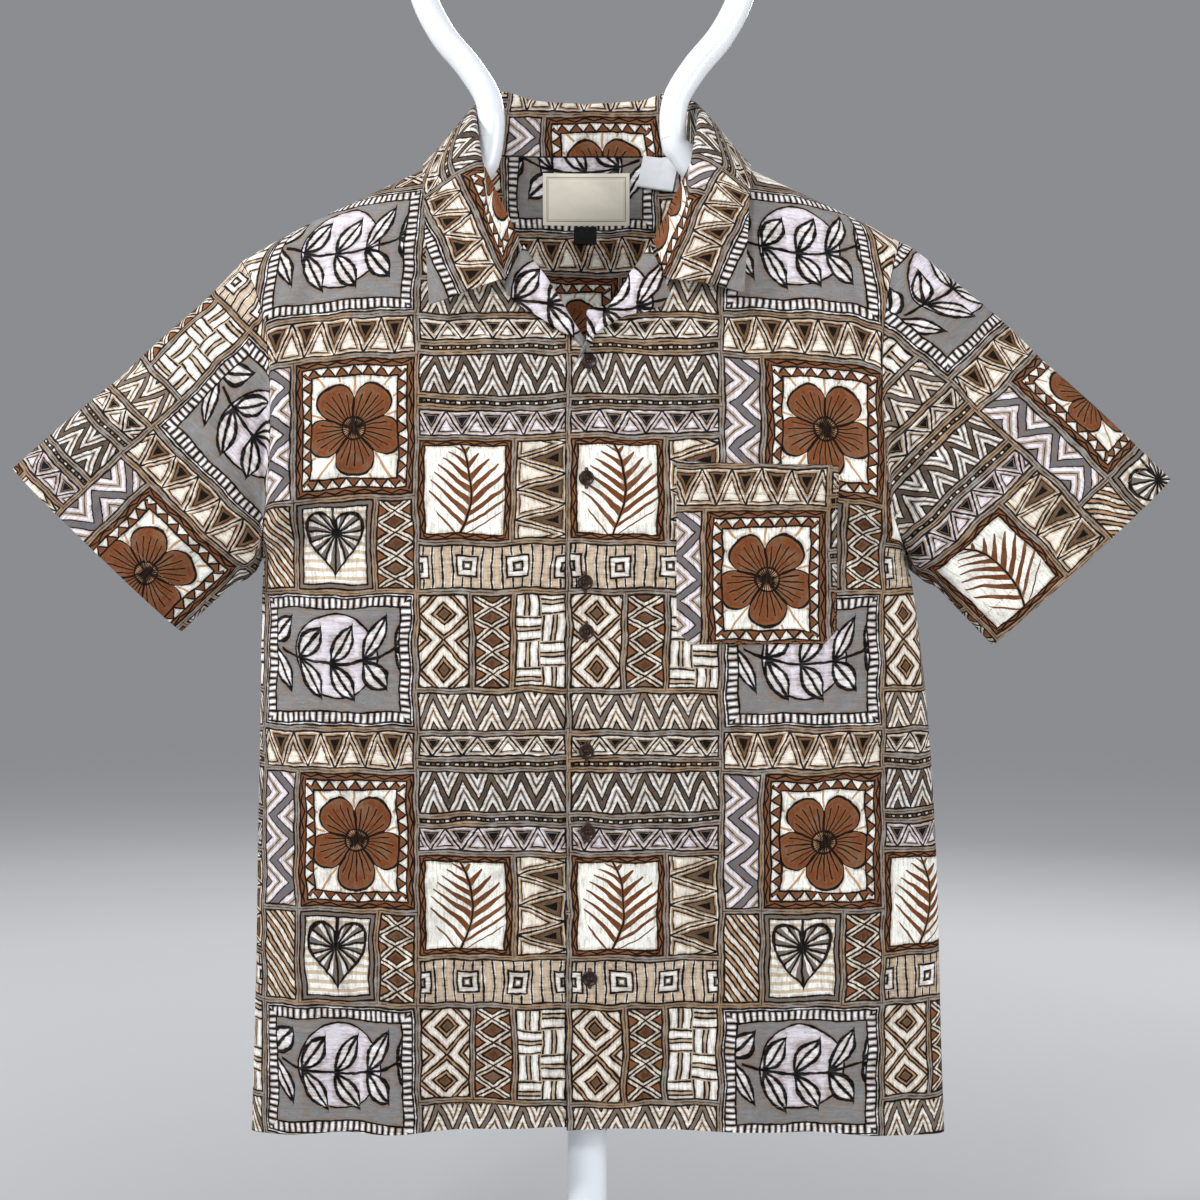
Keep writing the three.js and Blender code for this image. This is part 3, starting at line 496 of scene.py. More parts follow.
def patchwork(finish):
    """The print on the flat cloth: places on it, the brush strokes of each block, the paint, the
    ink and the distance to the inked lines."""
    flat = finish.flat_cloth()
    x, y, _ = finish.split(wobbled(finish, flat))

    # The band and the block that a place is in, and where it is from the block's middle.
    band_rows, block_rows = print_tables()
    first_wide, tall = COLUMN_STEPS[0] * BLOCK_STEP, REPEAT_BANDS * BAND_STEP
    x = x.wrap(sum(COLUMN_STEPS) * BLOCK_STEP)
    y = y.wrap(tall)
    second = x > first_wide
    x = second.times_plus(-first_wide, x)
    band = finish.steps(second.times_plus(REPEAT_BANDS, y / BAND_STEP), band_rows)
    middle, share, number = finish.split(band)
    b = middle.times_plus(-tall, y)
    half_b = share * (tall / 2)
    block = finish.steps(number.times_plus(PACK * BLOCKS_PER_BAND, x / BLOCK_STEP), block_rows)
    middle, share, figure = finish.split(block)
    a = middle.times_plus(-PACK * BLOCK_STEP, x)
    half_a = share * (PACK / 2 * BLOCK_STEP)
    figure = figure * PACK
    way = finish.other_output(block, "Alpha") * PACK

    # The block's figure inside its frame.
    edge_a, edge_b = half_a - abs(a), half_b - abs(b)
    edge = edge_a.low(edge_b)
    frame_wide, frame_role, lines = frame_of(a, b, edge_a, edge_b, edge, figure)
    figures = panel_figures(a, b, half_a + half_b - frame_wide * 2) | strip_figures(a, b, half_a, half_b)
    role, figure_lines = 0.0, 0.0
    for name, (shape, line) in figures.items():
        chosen = figure.is_near(FIGURES.index(name))
        role = chosen.times_plus(shape, role)
        figure_lines = chosen.times_plus(line, figure_lines)
    role = frame_role + (edge > frame_wide) * (role - frame_role)
    lines = lines.low(figure_lines.high(frame_wide - edge))

    # Three paints for each way to paint a block, and after them the paint of the gutters.
    in_gutter = edge < GUTTER
    gutter = 3 * len(WAYS)
    codes = [code for *three, _ in INKS.values() for code in three] + [GUTTER_PAINT]
    paints = list(enumerate(map(colour, codes)))
    index = (edge > GUTTER) * (way.times_plus(3, role) - gutter) + gutter
    ink = finish.steps(way + 0.25, list(enumerate(colour(line) for *_, line in INKS.values())))

    # Brush strokes along each block and along each gutter.
    lying = half_a > half_b
    lying = lying + in_gutter * ((edge_b < edge_a) - lying)
    flat_x, flat_y, _ = finish.split(flat)
    along = flat_y + lying * (flat_x - flat_y)
    brush = finish.node("CombineXYZ", {}, {"X": flat_x + flat_y - along, "Y": along * 0.14, "Z": lying * 50})
    strokes = finish.noise(brush, 1.7, 2.0, 0.65, flat=False)
    tint = finish.noise(flat, 70.0, 1.0).share(0.46, 0.62) * in_gutter
    paint = finish.mix(tint, finish.steps(index + 0.25, paints), colour(GUTTER_TINT))
    paint = finish.mix(strokes.share(0.48, 0.66) * in_gutter * 0.5, paint, colour(GUTTER_STREAK))
    return flat, strokes, paint, ink, lines


# ---- Curves and the shirt's surfaces --------------------------------------------------------
def hermite(t, start, end, leave, arrive):
    """From start to end as t goes from 0 to 1, with the slopes to leave and to arrive at."""
    return (
        (2 * t**3 - 3 * t**2 + 1) * start
        + (3 * t**2 - 2 * t**3) * end
        + (t**3 - 2 * t**2 + t) * leave
        + (t**3 - t**2) * arrive
    )


def curve(at, xs, ys):
    """A smooth line through rows of values, flat beyond its ends."""
    xs, ys = np.asarray(xs, float), np.asarray(ys, float)
    step = np.diff(xs)
    rise = np.diff(ys) / step
    slope = np.concatenate([rise[:1], (rise[:-1] + rise[1:]) / 2, rise[-1:]])
    i = np.clip(np.searchsorted(xs, at) - 1, 0, len(step) - 1)
    t = np.clip((at - xs[i]) / step[i], 0, 1)
    return hermite(t, ys[i], ys[i + 1], step[i] * slope[i], step[i] * slope[i + 1])


def read(table, key, at, name):
    return curve(np.asarray(at, float), table[key], table[name])


def mix(a, b, t):
    return a + (b - a) * t


def smooth(t):
    t = np.clip(t, 0, 1)
    return t * t * (3 - 2 * t)


def hump(off, width):
    return np.exp(-((off / width) ** 2))


def unit(ways):
    return ways / np.maximum(np.linalg.norm(ways, axis=-1, keepdims=True), 1e-9)


def lengths(points, axis=0):
    """How far along a path, or along the rows or columns of a grid, each point lies."""
    gone = np.cumsum(np.linalg.norm(np.diff(points, axis=axis), axis=-1), axis)
    return np.concatenate([np.zeros_like(gone.take([0], axis)), gone], axis)


def turns(count):
    """Evenly spaced angles once round."""
    return np.linspace(0, 2 * math.pi, count, endpoint=False)


def shoulder_height(x):
    beyond = np.maximum(0, x - SHOULDER_ROUND["from"])
    return NECK_POINT[1] - SHOULDER_SLOPE * (x - NECK_POINT[0]) - SHOULDER_ROUND["bend"] * beyond**2


def hang_height(face, x):
    """The line that a panel hangs from: the shoulder seam, and a hump over the neck hole."""
    across = np.abs(x)
    inside = np.clip(1 - (across / NECK_POINT[0]) ** 2, 0, 1)
    over_neck = NECK_POINT[1] + NECK_DEPTH[face] * inside**1.5
    return np.where(across < NECK_POINT[0], over_neck, shoulder_height(across))


def fold_rise(face, x, height):
    rise = 0 * x
    for x0, lean, low, high, width, out in FOLDS[face]:
        rise = rise + out * smooth((high - height) / (high - low)) * hump(x - x0 - lean * height, width)
    return rise


def drag_line(x, y, x0, y0, x1, y1, width, out):
    """A soft ridge or trough between two points, a little bowed and fading out at both."""
    length = math.hypot(x1 - x0, y1 - y0)
    along = ((x - x0) * (x1 - x0) + (y - y0) * (y1 - y0)) / length**2
    across = ((x - x0) * (y1 - y0) - (y - y0) * (x1 - x0)) / length
    bow = across + 6 * np.sin(math.pi * along)
    return out * smooth(along * 3 + 0.4) * smooth((1 - along) * 2.2) * hump(bow, width)


def crease_rise(face, x, height):
    return sum((drag_line(x, height, *crease) for crease in CREASES[face]), 0 * x)


def unevenness(x, height):
    """The slight waviness of washed cotton."""
    return (
        0.35 * np.sin(x / 31 + 1.1 * np.sin(height / 57))
        + 0.3 * np.sin(height / 43 + 1.4 * np.sin(x / 49 + 0.6))
        + 0.16 * np.sin(x / 13.7 + height / 21 + 2 * np.sin(height / 77))
        + 0.12 * np.sin(height / 11.3 - x / 25 + 1.7 * np.sin(x / 61))
    )


def body_width(x, height):
    """Half the body's width at a height, which grows into the sleeves above the armpits."""
    left = np.asarray(x) >= 0
    below = np.where(left, *(read(SIDE_SEAM, "height", height, name) for name in ("left", "right")))
    armpit = np.where(left, SIDE_SEAM["left"][-1], SIDE_SEAM["right"][-1])
    above = np.maximum(0, height - ARMPIT)
    opened = armpit + UNDERARM_OPENING["rate"] * above**2 / (above + UNDERARM_OPENING["ease"])
    return np.where(height > ARMPIT, opened, below)


def body_y(face, x, height):
    """How far the cloth stands in front of or behind the pole."""
    across = np.minimum(1, np.abs(x) / body_width(x, height))
    bow = np.sqrt(np.maximum(0, 1 - across**SIDE_ROUNDNESS))
    hang = np.maximum(0, hang_height(face, x) - height)
    fall = np.sqrt(1 - np.exp(-hang / DRAPE_LENGTH))
    depth = read(BODY_DEPTH, "height", height, face) + fold_rise(face, x, height)
    detail = crease_rise(face, x, height) + unevenness(x + (300 if face == "back" else 0), height)
    detail = detail + (1.4 + 1.3 * np.sin(x / 41 + 0.5)) * np.exp(-np.maximum(0, height - hem_height(x)) / 16)
    out = bow * fall * depth + detail * np.minimum(1, bow * 1.6) * np.minimum(1, fall * 2) + 0.2
    return -out if face == "front" else out


def hem_height(x):
    wave = 1.1 * np.sin(x / 34 + 0.6) + 0.7 * np.sin(x / 15.5)
    return wave * smooth((250 - np.abs(x)) / 120) - HEM_DROP["side"] * (np.abs(x) / HEM_DROP["at"]) ** 2


def overlap_lift(x):
    full, none = OVERLAP_LIFT["full"], OVERLAP_LIFT["none"]
    return OVERLAP_LIFT["height"] * smooth((none - x) / (none - full))


def front_y(x, height):
    """The outside of whichever front is on top."""
    return body_y("front", x, height) - overlap_lift(x) * (np.asarray(x) > -OVERLAP)


def armhole_top(name):
    return float(shoulder_height(np.array(ARMHOLE[name][-1])))


def armhole_x(name, height):
    rise = (height - ARMPIT) / (armhole_top(name) - ARMPIT)
    return read(ARMHOLE, "rise", rise, name)


# ---- Cloth as grids -------------------------------------------------------------------------
def facing(points, ring):
    """Unit normals of a grid whose columns run sideways and whose rows run upwards."""
    if ring:
        open_ring = points[:, :-1]
        across = np.roll(open_ring, -1, 1) - np.roll(open_ring, 1, 1)
        across = np.concatenate([across, across[:, :1]], 1)
    else:
        across = np.gradient(points, axis=1)
    return unit(np.cross(across, np.gradient(points, axis=0)))


def cloth_place(points, axis=(0, 0, 1), origin=0):
    """Where each point lies on the flat cloth: lengths along the rows, from the column called
    origin, and up the columns. axis is the way the warp runs."""
    axis = np.array(axis, float)
    weft = np.cross((0.0, 1.0, 0.0), axis)
    sideways = lengths(points - (points @ axis)[..., None] * axis, 1)
    upwards = lengths(points - (points @ weft)[..., None] * weft) + points[:1] @ axis
    return np.stack([sideways - sideways[:, [origin]], upwards], 2)


def lifted(points):
    """Points counted from the hem, with their heights counted from the floor."""
    return points + np.array([0, 0, HEM_HEIGHT])


def mesh_object(name, vertices, faces, finish, places=None, sharp=50):
    """A piece of the model. places holds the place on the flat cloth of every face's corners."""
    mesh = bpy.data.meshes.new(name)
    mesh.from_pydata((vertices * MM).tolist(), [], faces)
    if places is not None:
        layer = mesh.uv_layers.new(name="cloth")
        layer.uv.foreach_set("vector", (places * MM).astype(np.float32).ravel())
    mesh.shade_smooth()
    mesh.set_sharp_from_angle(angle=math.radians(sharp))
    mesh.materials.append(finish)
    made = bpy.data.objects.new(name, mesh)
    bpy.context.scene.collection.objects.link(made)
    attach(made, "root")
    return made


def quads(index):
    """Faces over a grid of vertex numbers."""
    a, b, c, d = index[:-1, :-1], index[:-1, 1:], index[1:, 1:], index[1:, :-1]
    return np.stack([a, b, c, d], 2).reshape(-1, 4)


GRIDS = {}  # each cloth piece's outer surface and its normals, for what is sewn on it


def cloth(name, points, finish, wall, places, ring=False):
    """A closed thin wall on a grid. wall may vary over the grid; extra thickness goes inwards."""
    normals = facing(points, ring)
    wall = np.broadcast_to(np.asarray(wall, float), points.shape[:2])[..., None]
    outer = points + normals * (PLY / 2)
    inner = outer - normals * wall
    count = points.shape[0] * points.shape[1]
    front = np.arange(count).reshape(points.shape[:2])
    back = front + count
    rims = [quads(np.stack([back[0], front[0]])), quads(np.stack([front[-1], back[-1]]))]
    if not ring:
        rims += [quads(np.stack([front[:, 0], back[:, 0]])), quads(np.stack([back[:, -1], front[:, -1]]))]
    corners = np.concatenate([quads(front), quads(back)[:, ::-1], *rims])
    flat = np.tile(places.reshape(-1, 2), (2, 1))[corners]
    if ring:
        same = np.arange(2 * count)
        same[front[:, -1]], same[back[:, -1]] = front[:, 0], back[:, 0]
        corners = same[corners]
    used, numbers = np.unique(corners, return_inverse=True)
    vertices = lifted(np.concatenate([outer.reshape(-1, 3), inner.reshape(-1, 3)])[used])
    GRIDS[name] = (outer, normals)
    return mesh_object(name, vertices, numbers.reshape(-1, 4).tolist(), finish, flat)


def spread(count, crowd):
    """Shares from 0 to 1 that crowd towards 1."""
    return 1 - (1 - np.linspace(0, 1, count)) ** crowd


def hemmed(shape, rows):
    """Wall thickness with a turned hem along the first rows."""
    wall = np.full(shape, PLY)
    wall[:rows] = TURNED
    return wall


# ---- Fronts, back and sleeves ---------------------------------------------------------------
def seam_pucker(gap, along):
    """A sewn edge: a soft ridge over the turnings and short, uneven puckers that fade out."""
    ripple = np.sin(along / 3.1 + 1.6 * np.sin(along / 17))
    ripple = ripple + 0.8 * np.sin(along / 5.3 + 2.0 * np.sin(along / 29))
    return 0.8 * hump(gap - 5.0, 3.2) + 0.42 * ripple * (1 - hump(gap, 3.0)) * np.exp(-gap / 13)


ROWS_BELOW, ROWS_ABOVE = 130, 90
SIDE_COLUMNS = 62
NECK_COLUMNS = {"front": 30, "back": 24}


def panel_grid(face, name, start, top, lift=False):
    """One side of the body from the column at start out to the side seam and armhole."""
    side = 1 if name == "left" else -1
    neck, armpit_width, tip = NECK_POINT[0], SIDE_SEAM[name][-1], ARMHOLE[name][-1]
    neck_share = (neck - start) / (armpit_width - start)
    near = np.linspace(0, neck_share, NECK_COLUMNS[face] + 1)
    share = np.concatenate([near, mix(neck_share, 1, spread(SIDE_COLUMNS + 1, 1.8)[1:])])
    outer = np.clip((share - neck_share) / (1 - neck_share), 0, 1)
    top_x = np.where(share <= neck_share, mix(start, neck, share / neck_share), mix(neck, tip, outer))
    armpit_x = mix(start, armpit_width, share)

    # Rows from the hem to the armpit, and on to the neck, the shoulder and the armhole.
    t = np.linspace(0, 1, ROWS_BELOW)[:, None]
    width = read(SIDE_SEAM, "height", mix(hem_height(armpit_x), ARMPIT, t), name)
    x_low = mix(start, width, share)
    h_low = mix(hem_height(x_low), ARMPIT, t)
    s = ((1 - np.cos(np.linspace(0, math.pi, ROWS_ABOVE + 1))) / 2)[1:, None]
    h_high = mix(ARMPIT, top(top_x), s)
    curve_in = armhole_x(name, mix(ARMPIT, armhole_top(name), s)) - mix(armpit_width, tip, s)
    x_high = mix(armpit_x, top_x, s) + curve_in * share**3  # fades out towards the middle
    x = np.concatenate([x_low, x_high])
    height = np.concatenate([h_low, h_high])

    # The sleeve's seam pulls the cloth out beside the armhole, and each seam puckers it.
    gap = np.clip(1 - share, 0, 1)[None, :] * (armpit_width - start)
    above = smooth((height - ARMPIT + 10) / 30)
    swell = 4.5 * hump(gap - 16, 13) * (1 - hump(gap, 5))
    swell = swell * smooth((height - ARMPIT + 30) / 40) * smooth((ARMPIT + 190 - height) / 90)
    side_pucker = 0.5 * seam_pucker(gap, height * 0.8 + 90)
    out = swell + above * seam_pucker(gap, height) + (1 - above) * side_pucker
    y = body_y(face, side * x, height) + (out if face == "back" else -out)
    if lift:
        y = y - overlap_lift(x)
    return np.stack([side * x, y, height], 2)


def front_top(x):
    neck = read(NECKLINE, "x", x, "height")
    return np.where(x < NECK_POINT[0], neck, shoulder_height(x))


def back_top(x):
    neck = NECK_POINT[1] + BACK_NECKLINE_RISE * (1 - (x / NECK_POINT[0]) ** 2)
    return np.where(x < NECK_POINT[0], neck, shoulder_height(x))


HEM_ROWS, CUFF_ROWS, PLACKET_COLUMNS = 6, 9, 4  # how much of each grid is turned and doubled


def make_fronts(finish):
    left = panel_grid("front", "left", -OVERLAP, front_top, lift=True)
    right = panel_grid("front", "right", -OVERLAP, front_top)[:, ::-1]
    wall = hemmed(left.shape[:2], HEM_ROWS)
    wall[:, :PLACKET_COLUMNS] = TURNED
    for name, points, way, edge in (("front_left", left, 1, 0), ("front_right", right, -1, -1)):
        places = cloth_place(points, origin=edge) + PRINT_AT[name]
        yield cloth(f"{name}_cloth", points, finish, wall[:, ::way], places)


def make_back(finish):
    left, right = (panel_grid("back", name, 0.0, back_top) for name in ("left", "right"))
    points = np.concatenate([left[:, ::-1], right[:, 1:]], 1)
    places = cloth_place(points, origin=left.shape[1] - 1) + PRINT_AT["back"]
    return cloth("back_cloth", points, finish, hemmed(points.shape[:2], HEM_ROWS), places)


SLEEVE_SPAN = (250.0, 520.0)  # about its length and its way round, which the shares below are of
SLEEVE_CREASES = [  # share along and round, to share along and round, half width, rise
    (0.03, 0.10, 0.55, 0.40, 10, 3.8),
    (0.03, 0.05, 0.80, 0.22, 10, -3.4),
    (0.04, 0.17, 0.34, 0.47, 9, -3.4),
    (0.12, 0.30, 0.66, 0.53, 12, 3.0),
    (0.25, 0.13, 0.98, 0.11, 12, 3.0),
    (0.48, 0.34, 1.02, 0.41, 14, -2.6),
    (0.02, 0.27, 0.22, 0.49, 8, 2.8),
    (0.60, 0.20, 1.02, 0.28, 11, 2.2),
    (0.03, 0.90, 0.60, 0.60, 11, 3.8),
    (0.03, 0.95, 0.85, 0.76, 11, -3.6),
    (0.06, 0.82, 0.32, 0.56, 9, -3.0),
    (0.30, 0.86, 0.98, 0.90, 12, 2.6),
    (0.45, 0.66, 1.02, 0.61, 14, 2.6),
]


SLEEVE_RINGS, SLEEVE_HALF = 110, 64


def sleeve_grid(name):
    """Rings from the armhole to the cuff, each from the underarm up the front and down the back."""
    side = 1 if name == "left" else -1
    cuff = CUFF[name]
    i = np.arange(2 * SLEEVE_HALF + 1)
    front = i <= SLEEVE_HALF
    way = np.where(front, -1, 1)
    t = (1 - np.cos(math.pi * np.where(front, i, 2 * SLEEVE_HALF - i) / SLEEVE_HALF)) / 2
    t = t[None, :]
    under = 1.8 * np.exp(-t * 22)
    height = mix(ARMPIT, armhole_top(name), t)
    x = armhole_x(name, height)
    y = np.where(front, body_y("front", side * x, height), body_y("back", side * x, height)) + 0.1 * way
    start = np.stack([x + 0.6 + under, y, height + under], 2)
    bulge = np.sin(np.arccos(np.clip(1 - 2 * t, -1, 1))) ** 0.8
    cuff_x, cuff_height = (mix(low, high, t) for low, high in zip(cuff["bottom"], cuff["top"]))
    end = np.stack([cuff_x, CUFF_FORWARD + way * cuff["depth"] * bulge, cuff_height], 2)
    s = np.linspace(0, 1, SLEEVE_RINGS)[:, None]
    points = mix(start, end, s[..., None])
    down, out, reach = (UNDERARM_DROP[key] for key in ("down", "out", "reach"))
    slack = np.where(s < reach, np.sin(math.pi * np.clip(s / reach, 0, 1) ** 0.6), 0) * (1 - t) ** 3
    crown = cuff["crown"] * np.sin(math.pi * s**0.6) * t**3
    tuck = s / 0.07 * np.exp(1 - s / 0.07) * np.sin(math.pi * np.clip(t * 1.35 + 0.08, 0, 1)) ** 1.5
    points += np.stack([out * slack, -10.0 * way * tuck, crown - down * slack], 2)
    points[..., 0] *= side
    return points[:, ::side]


def sleeve_detail(points, name):
    """Soft drag lines and an easy roll at the cuff, moved out along the sleeve's normals."""
    steps, around = points.shape[:2]
    s = np.linspace(0, 1, steps)[:, None]
    a = np.linspace(0, 1, around)[None, :]
    if name == "right":
        a = 1 - a
    rise = 0.5 * np.sin(2 * math.pi * (a * 3 + s * 0.7)) * s
    rise = rise + 0.35 * np.sin(2 * math.pi * (a * 5 - s * 2.3) + 1)
    long, wide = SLEEVE_SPAN
    for s0, a0, s1, a1, width, out in SLEEVE_CREASES:
        rise = rise + drag_line(s * long, a * wide, s0 * long, a0 * wide, s1 * long, a1 * wide, width, out)
    off_seam = smooth(np.minimum(a, 1 - a) * 18)
    length = np.linalg.norm(points[-1] - points[0], axis=1)[None, :]
    pucker = seam_pucker(s * length, np.abs(a - 0.5) * 900)
    return points + facing(points, True) * ((rise * smooth(s * 9) + pucker) * off_seam)[..., None]


def make_sleeve(name, finish):
    side = 1 if name == "left" else -1
    points = sleeve_detail(sleeve_grid(name), name)[::-1]
    run, rise = np.subtract(CUFF[name]["top"], CUFF[name]["bottom"])
    warp = unit(np.array([-side * rise, 0, run]))
    places = cloth_place(points, warp, points.shape[1] // 2) + PRINT_AT["sleeve_" + name]
    return cloth(f"sleeve_{name}_cloth", points, finish, hemmed(points.shape[:2], CUFF_ROWS), places, ring=True)


# ---- Collar, facings, pocket and labels -----------------------------------------------------
def smooth_rows(rows, count):
    """Rows of numbers or points resampled on smooth curves."""
    rows = np.asarray(rows, float)
    at = np.linspace(0, len(rows) - 1, count)
    flat = rows.reshape(len(rows), -1)
    fine = np.stack([curve(at, np.arange(len(rows)), flat[:, k]) for k in range(flat.shape[1])], 1)
    return fine.reshape((count, *rows.shape[1:]))


def bezier(p0, p1, p2, p3, t):
    t = t[None, :, None]
    p0, p1, p2, p3 = (p[:, None] for p in (p0, p1, p2, p3))
    return p0 * (1 - t) ** 3 + 3 * p1 * t * (1 - t) ** 2 + 3 * p2 * t**2 * (1 - t) + p3 * t**3


def rolled_strip(seam, stand, crest, fall, edge, over, roll, columns):
    """Sections that rise from the seam, roll over the crest and fall to the edge."""
    rise = bezier(seam, stand, crest - over * roll, crest, np.linspace(0, 1, columns[0]))
    leaf = bezier(crest, crest + over * roll, fall, edge, spread(columns[1], 0.9))
    return np.concatenate([rise, leaf[:, 1:]], 1)


COLLAR_ROWS, COLLAR_COLUMNS = 70, (14, 26)
COLLAR_SEAM_LIFT = 1.2


def collar_half(name):
    row = np.arange(len(COLLAR["seam_x"]))
    x = np.array(COLLAR["seam_x"], float)
    front = row >= COLLAR["on_back"]
    height = np.where(front, front_top(x), back_top(x))
    y = np.where(front, body_y("front", x, height), body_y("back", x, height))
    seam = np.stack([x, y - COLLAR_FORWARD * smooth((row - 3) / 2), height + COLLAR_SEAM_LIFT], 1)
    raised = COLLAR_TIP_RISE[name] * smooth((row - 4) / (len(row) - 5))
    lift = np.stack([0 * raised, 0 * raised, raised], 1)
    bearing = np.radians(smooth_rows(COLLAR["out"], COLLAR_ROWS))
    over = np.stack([np.cos(bearing), np.sin(bearing), 0 * bearing], 1)
    lines = (seam, COLLAR["crest"], COLLAR["fall"] + lift, COLLAR["edge"] + lift)
    seam, crest, fall, edge = (smooth_rows(line, COLLAR_ROWS) for line in lines)
    return rolled_strip(seam, mix(seam, crest, 0.6), crest, fall, edge, over, COLLAR_ROLL, COLLAR_COLUMNS)


def make_collar(finish):
    left = collar_half("left")
    right = collar_half("right") * np.array([-1, 1, 1])
    points = np.concatenate([right[::-1], left[1:]])
    along, across = lengths(points[:, COLLAR_COLUMNS[0] + 2]), lengths(points, 1)
    places = np.stack([np.broadcast_to(along[:, None], across.shape), across], 2)
    return cloth("collar_cloth", points, finish, COLLAR_WALL, places + PRINT_AT["collar"])


def make_facing(name, finish):
    """The turned-out top of a front edge, in sections from inside the front to the lapel's edge."""
    crest, edge = (smooth_rows(FACING[line], FACING_ROWS) for line in ("crest", name))
    away = unit(edge - crest)

    def on_front(flat, out):
        x, height = flat.T
        y = front_y(x, height) if name == "left" else body_y("front", -x, height)
        return np.stack([x, y - out, height], 1)

    seam = on_front(crest + away * FACING_INSIDE, -3.0)
    stand = on_front(crest + away * 2.0, -4.0)
    top = on_front(crest - away * 1.8, 1.5)
    fall = on_front(mix(crest, edge, 0.6), FACING_ROLL * 1.5)
    outer = on_front(edge, FACING_ROLL * 0.8)
    over = unit(np.stack([away[:, 0], 0 * away[:, 0] - 0.9, away[:, 1]], 1))
    points = rolled_strip(seam, stand, top, fall, outer, over, FACING_ROLL, FACING_COLUMNS)
    points = points[::-1] if name == "left" else points * np.array([-1, 1, 1])
    places = points[..., [0, 2]] + PRINT_AT["facing_" + name]
    return cloth(f"facing_{name}_cloth", points, finish, FACING_WALL, places)


def make_pocket(finish):
    up = np.linspace(0, 1, POCKET_ROWS)[:, None]
    across = np.linspace(0, 1, POCKET_COLUMNS)[None, :]
    low, high, corner = POCKET["bottom"], POCKET["top"], POCKET["corner"]
    corner_cut = corner * np.clip(1 - up * (high - low) / corner, 0, 1)
    x = mix(POCKET["left"] + corner_cut, POCKET["right"] - corner_cut, across)
    height = mix(low, high, up) - POCKET["slant"] * across * up
    bow = np.sin(math.pi * across)
    puff = 1.6 * (np.sin(math.pi * up) * bow) ** 0.5 + 1.2 * up**6 * bow
    row = np.arange(POCKET_ROWS)[:, None]
    hem_rise = (TURNED - PLY) * smooth((row - POCKET_ROWS + POCKET_HEM_ROWS + 3) / 3)
    points = np.stack([x, front_y(x, height) - PLY - POCKET_CLEAR - puff - hem_rise, height], 2)
    wall = hemmed(x.shape, POCKET_HEM_ROWS)[::-1]
    return cloth("pocket_cloth", points, finish, wall, points[..., [0, 2]] + PRINT_AT["pocket"])


def label_grid(size, up, lift, columns):
    """Rows of points on the inside of the back, up from the label's middle and lifted off the cloth."""
    across = (0.5 - np.linspace(0, 1, columns)) * size["wide"]
    across, up, lift = np.broadcast_arrays(across[None, :], up, lift)
    cosine, sine = math.cos(size["tilt"]), math.sin(size["tilt"])
    x = size["x"] + across * cosine - up * sine
    height = size["height"] + across * sine + up * cosine
    return np.stack([x, body_y("back", x, height) - lift, height], 2), np.stack([across, up], 2)


def make_neck_label(finish):
    """A woven label sewn down on its four sides, a little full in the middle."""
    rows, columns = 24, 32
    up = (np.linspace(0, 1, rows)[:, None] - 0.5) * NECK_LABEL["tall"]
    across = np.linspace(-1, 1, columns)[None, :]
    full = (np.cos(up / NECK_LABEL["tall"] * math.pi) * np.cos(across * math.pi / 2)).clip(0) ** 0.4
    points, places = label_grid(NECK_LABEL, up, 0.8 + 0.9 * full, columns)
    return cloth("neck_label_sewn", points, finish, LABEL_WALL, places)


def make_folded_label(name, size, finish, gape):
    """A tape that hangs by its two ends, with its fold at the bottom."""
    way = np.linspace(-1, 1, 61)[:, None]
    up = (np.sqrt(way**2 + 0.0012) - 0.5) * size["tall"]
    lift = 1.0 + gape * (0.5 + 0.5 * np.tanh(way * 22)) * (1.25 - 0.5 * np.abs(way))
    points, places = label_grid(size, up, lift, 16)
    return cloth(name, points, finish, TAPE_WALL, places)


# ---- Buttons and stitches -------------------------------------------------------------------
HOLE_AT, HOLE_RADIUS = 1.55, 0.62  # four holes, this far from the button's middle
BUTTONHOLE = {"half": 8.0, "wide": 1.0, "thread": 0.62, "rib": 0.55}
BUTTON_LIFT = 0.5
STITCH = {"pitch": 2.9, "gap": 0.5, "thread": 0.2}
STITCHED_AT = {"hem": 21.0, "cuff": 24.0, "collar": 5.5, "pocket": 1.8, "pocket hem": 24.0}  # in from the edge


def front_frame(x, height, lift):
    """A place on the closed front and the three directions there: sideways, up and out."""
    step = 3.0
    slope_x = float(front_y(x + step, height) - front_y(x - step, height)) / (2 * step)
    slope_up = float(front_y(x, height + step) - front_y(x, height - step)) / (2 * step)
    out = unit(np.array([slope_x, -1.0, slope_up]))
    sideways = unit(np.cross((0.0, 0.0, 1.0), out))
    place = np.array([x, float(front_y(x, height)), height]) + out * (PLY / 2 + lift)
    return place, np.array([sideways, np.cross(out, sideways), out])


def ring_mesh(rings, flip=True):
    """Points and faces of a capped skin over closed rings. Its faces look outwards when each ring
    turns clockwise, seen from the next; without flip, when it turns the other way."""
    count, around = rings.shape[:2]
    index = np.arange(count * around).reshape(count, around)
    faces = quads(np.concatenate([index, index[:, :1]], 1)).tolist()
    faces += [index[0, ::-1].tolist(), index[-1].tolist()]
    return rings.reshape(-1, 3), [face[::-1] for face in faces] if flip else faces


